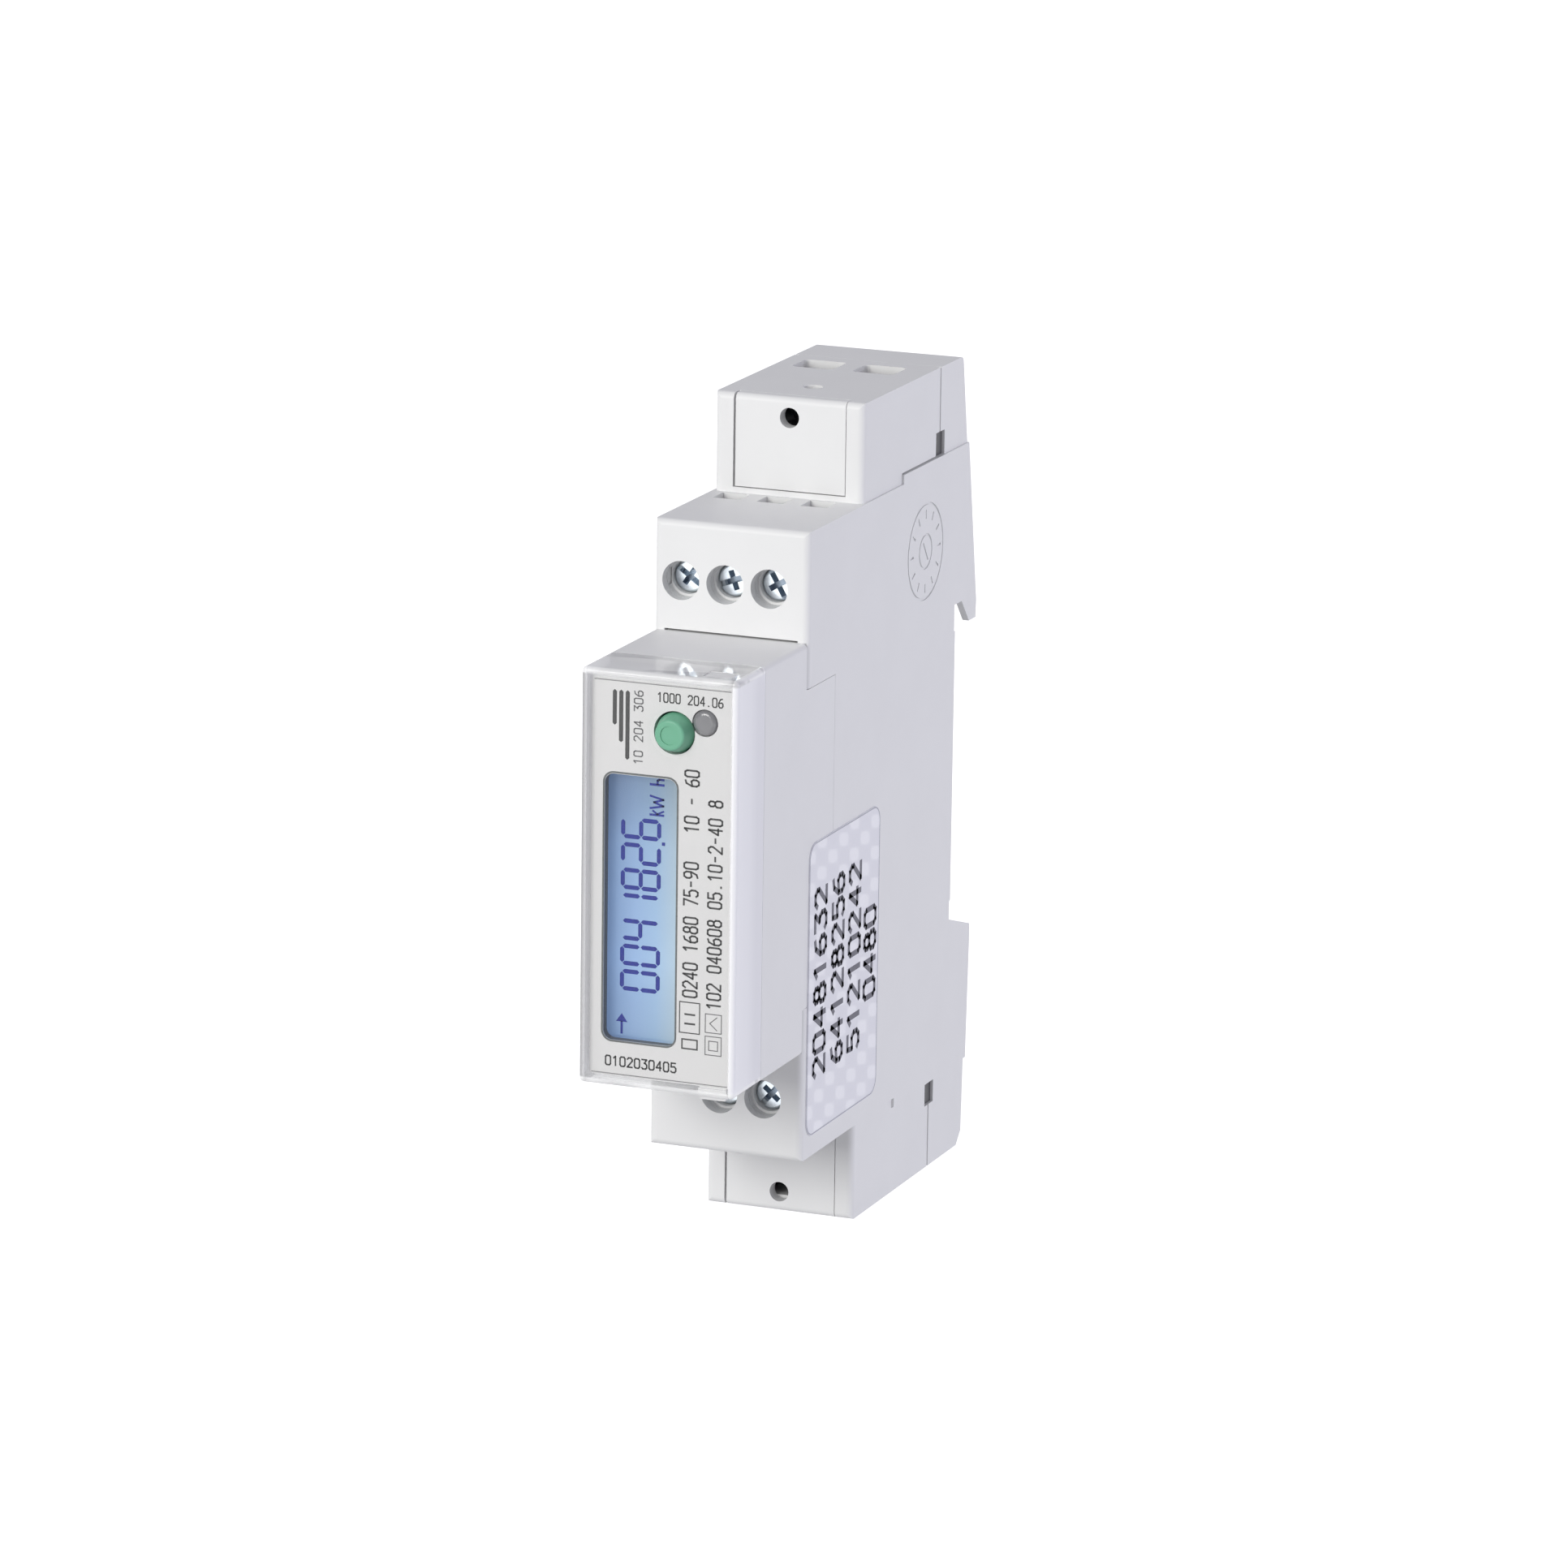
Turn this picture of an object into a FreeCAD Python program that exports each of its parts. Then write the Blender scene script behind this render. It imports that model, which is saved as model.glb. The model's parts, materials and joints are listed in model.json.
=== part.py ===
import FreeCAD, Part
import math
import os

# One-module DIN-rail electricity meter, built as an assembly of separate pieces.
# Frame: origin on the face that rests against the rail, +X to the viewer's right,
# -Y towards the viewer, +Z up.
# Everything is in millimetres. The upper and lower terminal ends mirror each other about z = 0.

V = FreeCAD.Vector

# ---------------------------------------------------------------- driving dimensions
BODY_HALF_W = 8.75          # half of one 17.5 mm module
END_HALF_W = 8.5            # the terminal ends are slightly narrower
HALF_H = 45.0               # half of the overall height
STEP_Z = 34.2               # half height of the middle step, with the signal terminals
HOOD_Z = 22.3               # half height of the display block
END_FRONT_Y = -28.1         # front of the terminal ends
STEP_FRONT_Y = -44.0        # front of the middle step
HOOD_FRONT_Y = -55.9        # where the opaque hood stops and the clear cover starts
COVER_FRONT_Y = -63.5       # front of the clear cover
WALL = 1.2                  # moulded wall thickness
PLATE_X = -7.75             # inner face of the side plate that closes the case on the left
GAP = 0.2                   # visible joint line between mouldings
GROOVE = (0.3, 0.4)         # width and depth of the grooves that mark the joints in the sides
FIT = 0.05                  # clearance between parts that only touch

# rail side, as (y, z) points of the outline
HOOK_TOP_BACK_Y = 1.8
HOOK_BACK = (6.5, 17.0)
HOOK_TIP_OUTER = (6.4, 15.0)
HOOK_TIP_INNER = (4.3, 15.0)
HOOK_ROOT = (1.9, 17.7)
SEAT_TOP_Z = 17.7
SEAT_BOTTOM_Z = -17.9
SEAT_LAND_Z = (-15.8, 14.7) # the part of the seat that bears on the rail
SEAT_RELIEF = 0.3
JAW_BACK_Y = 6.3
JAW_TOP_Z = -19.9
JAW_BEND_Z = -22.0
JAW_LOW = (5.3, -43.6)
JAW_FOOT = (3.9, -45.0)

# the hook's barb is cut back to ribs between these x spans
BARB_POCKETS_X = ((-8.0, -3.4), (-2.4, 2.4), (3.4, 8.0))

# posts that carry the side plate, as (y, z)
POST_PLACES = ((-2.9, 14.0), (-2.9, -14.0), (-8.0, 30.0), (-8.0, -30.0))

# side tongues of the hood
TONGUE_Z = 17.4
TONGUE_BACK_Y = -36.0
TONGUE_IN_X = 7.55

# joint between a terminal cap and the case
CAP_BACK_Y = -5.0
CAP_REAR_Z = 35.2
CAP_JOG_Y = -16.5
CAP_WALL = 1.2
CAP_TOP_T = 1.4
LATCH_X = 7.0               # inner side of the latch windows
LATCH_Y = (-6.3, -3.7)      # latch window, across the joint line
LATCH_Z = (35.2, 37.9)

# sealable lid in front of the power terminals
LID_X = (-6.4, 6.5)
LID_Z0 = 34.8
LID_T = 1.5
SEAL_HOLE_R = 1.1
SEAL_HOLE_X = 0.0
SEAL_HOLE_Z = 42.8
SEAL_EXIT_Y = -21.4

# power terminals
POWER_X = (-4.0, 3.0)
POWER_Z = 39.9
WIRE_HOLE = (4.8, 4.4)      # along X and Y
WIRE_HOLE_Y = -9.4
POWER_HEAD_R = 2.3
POWER_HEAD_Y = (-25.2, -23.0)
POWER_SHANK_R = 2.0
POWER_TIP_Y = -13.2
BAR_Y = (-13.1, -11.9)
CAGE_X = 2.9                # half width
CAGE_Z = 3.2                # half height
CAGE_NUT_Y = (-17.4, -14.4)
CAGE_BACK_Y = (-6.9, -5.7)
CAGE_SIDE_T = 0.75
GUIDE_Y = (-22.9, -21.9)

# signal terminals
SIGNAL_X = (-5.75, -0.75, 4.25)
SIGNAL_LOW_X = (-0.75, 4.25)
SIGNAL_Z = 27.75
ACCESS_R = 2.1
SIGNAL_HEAD_R = 1.75
COLLAR_Y = -41.9            # the ring around each signal screw's head
SIGNAL_HEAD_Y = (-41.4, -39.8)
SIGNAL_SHANK_R = 1.25
SIGNAL_TIP_Y = -32.85
CONTACT_Y = (-32.75, -31.95)
SIGNAL_NUT_Y = (-36.2, -34.2)
SIGNAL_CAGE_BACK_Y = (-28.5, -27.7)
SIGNAL_CAGE_X = 1.85
SIGNAL_CAGE_Z = 2.2
SIGNAL_CAGE_SIDE_T = 0.5
SIGNAL_LIFT = 2.5           # travel of a signal cage
SIGNAL_WIRE = 3.0           # side of the square wire entry
SIGNAL_WIRE_Y = -30.1
TERMINAL_X = (-7.65, 5.85)
TERMINAL_Y = (-42.7, -27.2)
TERMINAL_Z = (24.6, 32.9)

# display
BEZEL_X = 8.0
BEZEL_Z = 21.5
BEZEL_FRONT_Y = -62.3
BEZEL_T = 0.9
LABEL_T = 0.15
LABEL_Z = (-21.35, 21.0)
COVER_T = 0.7
TAB_X = (4.4, 7.4)          # snap tabs of the bezel
TAB_Y = (-62.2, -60.0)
TAB_REACH = 0.6             # how far the lower tab stands out of the cover
WINDOW_X = (-6.45, 1.65)
WINDOW_Z = (-17.6, 11.0)
WINDOW_R = 1.0
LCD_X = (-7.0, 2.6)
LCD_Z = (-19.5, 12.9)
LCD_FRONT_Y = -60.8
GLASS_T = 0.75
BACKLIGHT_Y = (-59.2, -57.2)
DISPLAY_PCB_Y = (-57.1, -56.1)
BUTTON_X = 1.3
BUTTON_Z = 16.0
BUTTON_R = 2.1              # at the label, from where it tapers to its face
BUTTON_FACE_R = 1.6
BUTTON_TAPER_Y = -62.2
BUTTON_FRONT_Y = -63.9
BUTTON_HOLE_R = 2.3
COVER_HOLE_R = 2.6
LED_X = 4.7
LED_Z = 17.35
LED_R = 1.4
LED_FRONT_Y = -62.7

# rail clip
CLIP_X = 4.9
CLIP_Y = (1.35, 4.85)
CLIP_Z = (-44.9, -19.6)
CLIP_NOSE_Y = 1.2           # front of the ramped nose
CLIP_NOSE_Z = -16.2
CHANNEL_GAP = 0.15
SPRING_SEAT_Z = (-38.0, -36.5)
SPRING_TOP_Z = -27.2
SPRING_R = 1.45
SPRING_WIRE = 0.5
SPRING_TURNS = 6

# main board
BOARD_X = (6.25, 7.45)
BOARD_Y = (-42.0, -14.6)
BOARD_Z = 32.8
HEADER_Y = -39.5            # row of header pins in the main board


# ---------------------------------------------------------------- helpers
def box(x, y, z):
    """A box from three (low, high) pairs."""
    return Part.makeBox(x[1] - x[0], y[1] - y[0], z[1] - z[0], V(x[0], y[0], z[0]))


def about(centre, half):
    """The (low, high) pair around a centre."""
    return (centre - half, centre + half)


def rod_y(x, z, radius, y):
    return Part.makeCylinder(radius, y[1] - y[0], V(x, y[0], z), V(0, 1, 0))


def rod_z(x, y, radius, z):
    return Part.makeCylinder(radius, z[1] - z[0], V(x, y, z[0]), V(0, 0, 1))


def rod_x(y, z, radius, x):
    return Part.makeCylinder(radius, x[1] - x[0], V(x[0], y, z), V(1, 0, 0))


def prism_x(outline, x):
    """Extrudes a closed (y, z) outline between two x values."""
    points = [V(x[0], y, z) for y, z in outline]
    face = Part.Face(Part.makePolygon(points + points[:1]))
    return face.extrude(V(x[1] - x[0], 0, 0))


def along(edge, axis):
    """True if a straight edge runs along axis 0, 1 or 2."""
    if not isinstance(edge.Curve, Part.Line):
        return False
    direction = edge.Curve.Direction
    return abs(abs((direction.x, direction.y, direction.z)[axis]) - 1) < 1e-6


def on(edge, **places):
    """True if the middle of an edge has each of the given coordinates."""
    middle = edge.CenterOfMass
    return all(abs(getattr(middle, axis) - value) < 0.02 for axis, value in places.items())


def rounded(shape, radius, *tests):
    """Fillets each edge that passes any of the tests."""
    edges = [e for e in shape.Edges if any(test(e) for test in tests)]
    return shape.makeFillet(radius, edges)


def soft_box(x, y, z, radius, axis):
    """A box whose four edges along one axis are rounded."""
    return rounded(box(x, y, z), radius, lambda e: along(e, axis))


def below(shape):
    """The lower twin of an upper piece."""
    return shape.mirror(V(0, 0, 0), V(0, 0, 1))


def joined(first, *others):
    return first.fuse(list(others)).removeSplitter()


def without(shape, *tools):
    return shape.cut(list(tools)) if tools else shape


def saved(name, shape):
    """Writes one node and prints its volume."""
    solids = shape.Solids
    whole = solids[0] if len(solids) == 1 else Part.makeCompound(solids)
    if not all(s.isValid() and s.Volume > 0 for s in solids):
        raise ValueError(name + " is not valid")
    whole.exportStep(os.path.join("parts", name + ".step"))
    print(f"{name}: {len(solids)} solid(s), {sum(s.Volume for s in solids):.1f} mm3")


def hook_back_y(z):
    """The sloping back of the upper hook section."""
    share = (HALF_H - z) / (HALF_H - HOOK_BACK[1])
    return HOOK_TOP_BACK_Y + (HOOK_BACK[0] - HOOK_TOP_BACK_Y) * share


def jaw_back_y(z):
    """The slightly sloping back of the lower jaw section."""
    share = (JAW_BEND_Z - z) / (JAW_BEND_Z - JAW_LOW[1])
    return JAW_BACK_Y + (JAW_LOW[0] - JAW_BACK_Y) * share


# ---------------------------------------------------------------- case
def middle_outline():
    return [
        (STEP_FRONT_Y, STEP_Z),
        (CAP_JOG_Y, STEP_Z),
        (CAP_JOG_Y, CAP_REAR_Z),
        (hook_back_y(CAP_REAR_Z), CAP_REAR_Z),
        HOOK_BACK,
        HOOK_TIP_OUTER,
        HOOK_TIP_INNER,
        HOOK_ROOT,
        (-SEAT_RELIEF, SEAT_TOP_Z),
        (-SEAT_RELIEF, SEAT_LAND_Z[1]),
        (0, SEAT_LAND_Z[1]),
        (0, SEAT_LAND_Z[0]),
        (-SEAT_RELIEF, SEAT_LAND_Z[0]),
        (-SEAT_RELIEF, SEAT_BOTTOM_Z),
        (JAW_BACK_Y, JAW_TOP_Z),
        (JAW_BACK_Y, JAW_BEND_Z),
        (jaw_back_y(-CAP_REAR_Z), -CAP_REAR_Z),
        (CAP_JOG_Y, -CAP_REAR_Z),
        (CAP_JOG_Y, -STEP_Z),
        (STEP_FRONT_Y, -STEP_Z),
    ]


def case_envelope():
    """The outside of the main case and its side plate, before they are hollowed and parted."""
    edge_r = 0.7
    body = (-BODY_HALF_W, BODY_HALF_W)
    end = (-END_HALF_W, END_HALF_W)
    middle = prism_x(middle_outline(), body)
    middle = rounded(
        middle,
        edge_r,
        lambda e: along(e, 2) and on(e, y=STEP_FRONT_Y),
        lambda e: along(e, 0) and on(e, y=STEP_FRONT_Y),
    )
    top = prism_x(
        [
            (CAP_BACK_Y, CAP_REAR_Z),
            (CAP_BACK_Y, HALF_H),
            (HOOK_TOP_BACK_Y, HALF_H),
            (hook_back_y(CAP_REAR_Z), CAP_REAR_Z),
        ],
        end,
    )
    top = rounded(top, edge_r, lambda e: along(e, 0) and on(e, y=HOOK_TOP_BACK_Y, z=HALF_H))
    bottom = prism_x(
        [
            (CAP_BACK_Y, -CAP_REAR_Z),
            (jaw_back_y(-CAP_REAR_Z), -CAP_REAR_Z),
            JAW_LOW,
            JAW_FOOT,
            (CAP_BACK_Y, -HALF_H),
        ],
        end,
    )
    return joined(middle, top, bottom)


def tongue_cut():
    """The room that the hood's rear tongues and its rear edge need, on both sides."""
    wide = (-BODY_HALF_W - 1, BODY_HALF_W + 1)
    edge = box(wide, (STEP_FRONT_Y - 1, STEP_FRONT_Y + GAP), (-HOOD_Z, HOOD_Z))
    y = (STEP_FRONT_Y - 1, TONGUE_BACK_Y)
    z = (-TONGUE_Z, TONGUE_Z)
    right = box((TONGUE_IN_X, wide[1]), y, z)
    left = box((wide[0], -TONGUE_IN_X), y, z)
    return [edge, right, left]


def latch_windows():
    """Openings in the side walls, across the joint between the case and each cap."""
    cuts = []
    for side in (-1, 1):
        x = sorted((side * LATCH_X, side * (END_HALF_W + 1)))
        upper = box(x, LATCH_Y, LATCH_Z)
        cuts += [upper, below(upper)]
    return cuts


def inner_rooms(right_x, left_x, column_right_x, column_left_x, inset):
    """The hollow of the main case: the wide middle room and the two columns behind the terminals."""
    room_z = STEP_Z - WALL - inset
    back_y = -SEAT_RELIEF - WALL - inset
    room = box((left_x, right_x), (STEP_FRONT_Y + WALL + inset, back_y), (-room_z, room_z))
    front_y = CAP_BACK_Y + WALL + inset
    end_z = HALF_H - WALL - inset
    slope = WALL + 0.03 + inset
    foot_z = SEAT_TOP_Z + WALL + inset
    upper = prism_x(
        [
            (front_y, foot_z),
            (front_y, end_z),
            (hook_back_y(end_z) - slope, end_z),
            (hook_back_y(foot_z) - slope, foot_z),
        ],
        (column_left_x, column_right_x),
    )
    lower = box((column_left_x, column_right_x), (front_y, -inset), (-end_z, WALL + 1 - STEP_Z - inset))
    return [room, upper, lower]


def case_cuts():
    """Everything that is cut from the envelope to make it a shell, apart from the small holes."""
    x0 = -BODY_HALF_W - 1
    rooms = inner_rooms(BODY_HALF_W - WALL, x0, END_HALF_W - WALL, x0, 0)
    mouth_x = BODY_HALF_W - WALL
    mouth_y = (STEP_FRONT_Y - 1, STEP_FRONT_Y + WALL)
    mouth = box((-mouth_x, mouth_x), mouth_y, (-HOOD_Z - GAP, HOOD_Z + GAP))
    shaft = box((-7.3, 7.3), (END_FRONT_Y + WALL, CAP_BACK_Y), (STEP_Z - WALL - 1, CAP_REAR_Z + 1))
    return rooms + [mouth, shaft, below(shaft)]


def clip_channel():
    """The straight channel in which the rail clip slides, open at both ends."""
    x = (-CLIP_X - CHANNEL_GAP, CLIP_X + CHANNEL_GAP)
    y = (CLIP_Y[0] - CHANNEL_GAP, CLIP_Y[1] + CHANNEL_GAP)
    channel = box(x, y, (-HALF_H - 1, SEAT_BOTTOM_Z + 1))
    peg = box((-2.0, 2.0), (y[0] - 1, y[1] - 0.1), SPRING_SEAT_Z)
    return without(channel, peg)


def signal_entries():
    """Square wire entries beside the upper terminals' riser and beside the lower one."""
    half = SIGNAL_WIRE / 2
    upper = [box(about(x, half), about(SIGNAL_WIRE_Y, half), (STEP_Z - 2, STEP_Z + 1)) for x in SIGNAL_X]
    lower = [
        below(box(about(x, half), about(SIGNAL_WIRE_Y, half), (STEP_Z - 2, STEP_Z + 1)))
        for x in SIGNAL_LOW_X
    ]
    return upper + lower


def access_holes():
    """Round screwdriver holes in the step fronts."""
    y = (STEP_FRONT_Y - 1, STEP_FRONT_Y + WALL + 1)
    upper = [rod_y(x, SIGNAL_Z, ACCESS_R, y) for x in SIGNAL_X]
    lower = [rod_y(x, -SIGNAL_Z, ACCESS_R, y) for x in SIGNAL_LOW_X]
    return upper + lower


def mould_clock():
    """A shallow engraved moulding-date dial: a ring, twelve ticks and a pointer."""
    depth = 0.15
    centre_y, centre_z = -9.6, 25.5
    ring_r = 5.4
    line = 0.25
    x = (BODY_HALF_W - depth, BODY_HALF_W + 1)
    ring = rod_x(centre_y, centre_z, ring_r, x).cut(rod_x(centre_y, centre_z, ring_r - line, x))
    hub = rod_x(centre_y, centre_z, 2.0, x).cut(rod_x(centre_y, centre_z, 2.0 - line, x))
    cuts = [ring, hub]
    for hour in range(12):
        tick = box(x, about(centre_y, line / 2), (centre_z + 3.6, centre_z + 4.6))
        tick.rotate(V(0, centre_y, centre_z), V(1, 0, 0), 30 * hour)
        cuts.append(tick)
    pointer = box(x, about(centre_y, line / 2), (centre_z - 1.3, centre_z + 1.3))
    pointer.rotate(V(0, centre_y, centre_z), V(1, 0, 0), 35)
    cuts.append(pointer)
    return cuts


def barb_pockets():
    """Pockets that leave the hook's barb as four ribs."""
    y = (0.5, HOOK_BACK[0] + 1)
    z = (HOOK_TIP_INNER[1] - 1, SEAT_TOP_Z)
    return [box(x, y, z) for x in BARB_POCKETS_X]


def main_case():
    shell = without(case_envelope(), *case_cuts(), *tongue_cut(), *latch_windows())
    shell = without(shell, clip_channel(), *signal_entries(), *access_holes(), *mould_clock())
    shell = without(shell, *barb_pockets())
    posts = [rod_x(y, z, 1.1, (PLATE_X, BODY_HALF_W - WALL + 0.3)) for y, z in POST_PLACES]
    sockets = [rod_x(y, z, 0.6, (PLATE_X - 1, PLATE_X + 2.6)) for y, z in POST_PLACES]
    return without(joined(shell, *posts), *sockets)


def side_plate():
    """The flat plate that drops into the case's open left side, with four locating pegs."""
    inset = 0.06
    rooms = inner_rooms(PLATE_X, -BODY_HALF_W, PLATE_X, -END_HALF_W, inset)
    plate = without(joined(*rooms), *tongue_cut(), *latch_windows())
    pegs = [rod_x(y, z, 0.55, (PLATE_X - 0.3, PLATE_X + 2.4)) for y, z in POST_PLACES]
    return joined(plate, *pegs)


# ---------------------------------------------------------------- display hood
def front_hood():
    """The opaque block behind the clear cover, with tongues that reach back into the case's sides."""
    x = (-BODY_HALF_W, BODY_HALF_W)
    outer = soft_box(x, (HOOD_FRONT_Y, STEP_FRONT_Y), (-HOOD_Z, HOOD_Z), 0.5, 1)
    bore_x = BODY_HALF_W - WALL
    bore_z = HOOD_Z - WALL
    bore = box((-bore_x, bore_x), (HOOD_FRONT_Y - 1, STEP_FRONT_Y + 1), (-bore_z, bore_z))
    outer = without(outer, bore)
    y = (STEP_FRONT_Y - 2, TONGUE_BACK_Y - FIT)
    z = (-TONGUE_Z + FIT, TONGUE_Z - FIT)
    right = box((TONGUE_IN_X + FIT, BODY_HALF_W), y, z)
    left = box((-BODY_HALF_W, -TONGUE_IN_X - FIT), y, z)
    lip = box((-7.4, 7.4), (STEP_FRONT_Y - 2, STEP_FRONT_Y + 1.8), (bore_z, HOOD_Z - FIT))
    grooves = []
    for side in (-1, 1):
        groove_x = sorted((side * (BODY_HALF_W - GROOVE[1]), side * (BODY_HALF_W + 1)))
        groove = box(groove_x, (STEP_FRONT_Y - GROOVE[0], STEP_FRONT_Y), (TONGUE_Z, HOOD_Z + 1))
        grooves += [groove, below(groove)]
    return without(joined(outer, right, left, lip, below(lip)), *grooves)


# ---------------------------------------------------------------- terminal ends
def terminal_cap():
    x = (-END_HALF_W, END_HALF_W)
    outer = prism_x(
        [
            (END_FRONT_Y, STEP_Z),
            (END_FRONT_Y, HALF_H),
            (CAP_BACK_Y - 0.05, HALF_H),
            (CAP_BACK_Y - 0.05, CAP_REAR_Z + 0.05),
            (CAP_JOG_Y - 0.02, CAP_REAR_Z + 0.05),
            (CAP_JOG_Y - 0.02, STEP_Z),
        ],
        x,
    )
    outer = rounded(
        outer,
        0.7,
        lambda e: along(e, 2) and on(e, y=END_FRONT_Y),
        lambda e: along(e, 0) and on(e, y=END_FRONT_Y, z=HALF_H),
    )
    inner_x = END_HALF_W - CAP_WALL
    room = box(
        (-inner_x, inner_x), (END_FRONT_Y + LID_T, 0), (STEP_Z - 1, HALF_H - CAP_TOP_T)
    )
    doorway = box(LID_X, (END_FRONT_Y - 1, END_FRONT_Y + LID_T + 0.1), (LID_Z0, HALF_H + 1))
    half_x, half_y = WIRE_HOLE[0] / 2, WIRE_HOLE[1] / 2
    wires = [
        soft_box(about(px, half_x), about(WIRE_HOLE_Y, half_y), (HALF_H - 3, HALF_H + 1), 0.6, 2)
        for px in POWER_X
    ]
    seal = rod_z(SEAL_HOLE_X, SEAL_EXIT_Y, SEAL_HOLE_R, (HALF_H - 3, HALF_H + 1))
    return without(outer, room, doorway, seal, *wires, *latch_windows(), *cap_grooves())


def cap_grooves():
    """Grooves in the cap's sides, along its joint with the case."""
    wide, deep = GROOVE
    grooves = []
    for side in (-1, 1):
        x = sorted((side * (END_HALF_W - deep), side * (END_HALF_W + 1)))
        grooves.append(box(x, (CAP_BACK_Y - wide, 0), (CAP_REAR_Z, HALF_H + 1)))
        grooves.append(box(x, (CAP_JOG_Y, CAP_BACK_Y), (STEP_Z, CAP_REAR_Z + 0.6 * wide)))
    return grooves


def seal_lid():
    """The lid over the power screws. It pulls straight out once the seal wire is cut."""
    x = (LID_X[0] + 0.25, LID_X[1] - 0.08)
    y = (END_FRONT_Y, END_FRONT_Y + LID_T)
    plate = box(x, y, (LID_Z0 + 0.12, HALF_H))
    plate = rounded(plate, 0.7, lambda e: along(e, 0) and on(e, y=END_FRONT_Y, z=HALF_H))
    legs = [
        box(leg, (y[1] - 0.3, y[1] + 1.1), (LID_Z0 + 0.7, LID_Z0 + 1.8))
        for leg in ((LID_X[0] + 0.3, LID_X[0] + 1.4), (LID_X[1] - 1.4, LID_X[1] - 0.3))
    ]
    lid = joined(plate, *legs)
    hole = rod_y(SEAL_HOLE_X, SEAL_HOLE_Z, SEAL_HOLE_R, (END_FRONT_Y - 1, END_FRONT_Y + 5))
    return without(lid, hole)


def terminal_insert():
    """The insulating insert that carries the power screws, guides their cages and locks the cap."""
    low_z, high_z = 35.4, 43.5
    back_y = -5.6
    guide = box((-7.2, 7.2), GUIDE_Y, (low_z, high_z))
    tray = box((-7.2, 7.2), (GUIDE_Y[1] - 0.1, back_y), (low_z, low_z + 0.9))
    partition = box((-0.9, -0.1), (GUIDE_Y[1] - 0.1, back_y), (low_z, high_z))
    collar_y = (POWER_HEAD_Y[0] - 0.4, GUIDE_Y[0] + 0.1)
    collars = [rod_y(x, POWER_Z, POWER_HEAD_R + 0.9, collar_y) for x in POWER_X]
    noses = []
    for side in (-1, 1):
        x = sorted((side * (LATCH_X + 0.05), side * (END_HALF_W - 0.3)))
        noses.append(box(x, (LATCH_Y[0] + 0.06, LATCH_Y[1] - 0.06), (LATCH_Z[0] + 0.06, LATCH_Z[1] - 0.06)))
    insert = joined(guide, tray, partition, *collars, *noses)
    cuts = [box((-1.4, 1.3), (collar_y[0] - 1, SEAL_EXIT_Y + 1.4), (41.5, 46))]
    for x in POWER_X:
        cuts.append(rod_y(x, POWER_Z, POWER_HEAD_R + 0.15, (collar_y[0] - 1, GUIDE_Y[0])))
        cuts.append(rod_y(x, POWER_Z, POWER_SHANK_R + 0.15, (GUIDE_Y[0] - 1, GUIDE_Y[1] + 1)))
        cuts.append(box(about(x, 2.0), (BAR_Y[0] - 0.1, BAR_Y[1] + 0.1), (30, 36.5)))
    return without(insert, *cuts)


# ---------------------------------------------------------------- screws and cages
def recessed_head(x, z, radius, y, turn):
    """A combination head: one full slot, one short slot across it, and a centre dimple."""
    head = rounded(rod_y(x, z, radius, y), 0.25, lambda e: on(e, y=y[0]) and e.Closed)
    slot_w = 0.36 * radius
    slot = box(about(x, radius + 1), (y[0] - 1, y[0] + 0.7), about(z, slot_w / 2))
    cross = box(about(x, slot_w / 2), (y[0] - 1, y[0] + 1.1), about(z, 0.62 * radius))
    deep = box(about(x, 0.62 * radius), (y[0] - 1, y[0] + 1.1), about(z, slot_w / 2))
    cuts = [slot, cross, deep]
    for cut in cuts:
        cut.rotate(V(x, 0, z), V(0, 1, 0), turn)
    return without(head, *cuts)


def threaded_shank(x, z, radius, y, pitch):
    """A shank whose thread is drawn as a row of grooves."""
    shank = rod_y(x, z, radius, y)
    depth = 0.3 * pitch
    grooves = []
    count = int((y[1] - y[0] - 1.0) / pitch)
    for i in range(count):
        y0 = y[1] - 0.3 - (i + 1) * pitch
        ring = rod_y(x, z, radius + 1, (y0, y0 + 0.4 * pitch))
        core = rod_y(x, z, radius - depth, (y0, y0 + 0.4 * pitch))
        grooves.append(ring.cut(core))
    return without(shank, *grooves)


def power_screw(x, turn):
    head = recessed_head(x, POWER_Z, POWER_HEAD_R, POWER_HEAD_Y, turn)
    shank = threaded_shank(x, POWER_Z, POWER_SHANK_R, (POWER_HEAD_Y[1] - 0.1, POWER_TIP_Y), 0.7)
    return joined(head, shank)


def power_cage(x):
    outer = soft_box(about(x, CAGE_X), (CAGE_NUT_Y[0], CAGE_BACK_Y[1]), about(POWER_Z, CAGE_Z), 0.4, 2)
    window = box(
        about(x, CAGE_X - CAGE_SIDE_T), (CAGE_NUT_Y[1], CAGE_BACK_Y[0]), about(POWER_Z, CAGE_Z + 1)
    )
    nut = rod_y(x, POWER_Z, POWER_SHANK_R + 0.06, (CAGE_NUT_Y[0] - 1, CAGE_NUT_Y[1] + 1))
    return without(outer, window, nut)


def signal_screw(x, turn):
    head = recessed_head(x, SIGNAL_Z, SIGNAL_HEAD_R, SIGNAL_HEAD_Y, turn)
    y = (SIGNAL_HEAD_Y[1] - 0.1, SIGNAL_TIP_Y)
    return joined(head, threaded_shank(x, SIGNAL_Z, SIGNAL_SHANK_R, y, 0.5))


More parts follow.
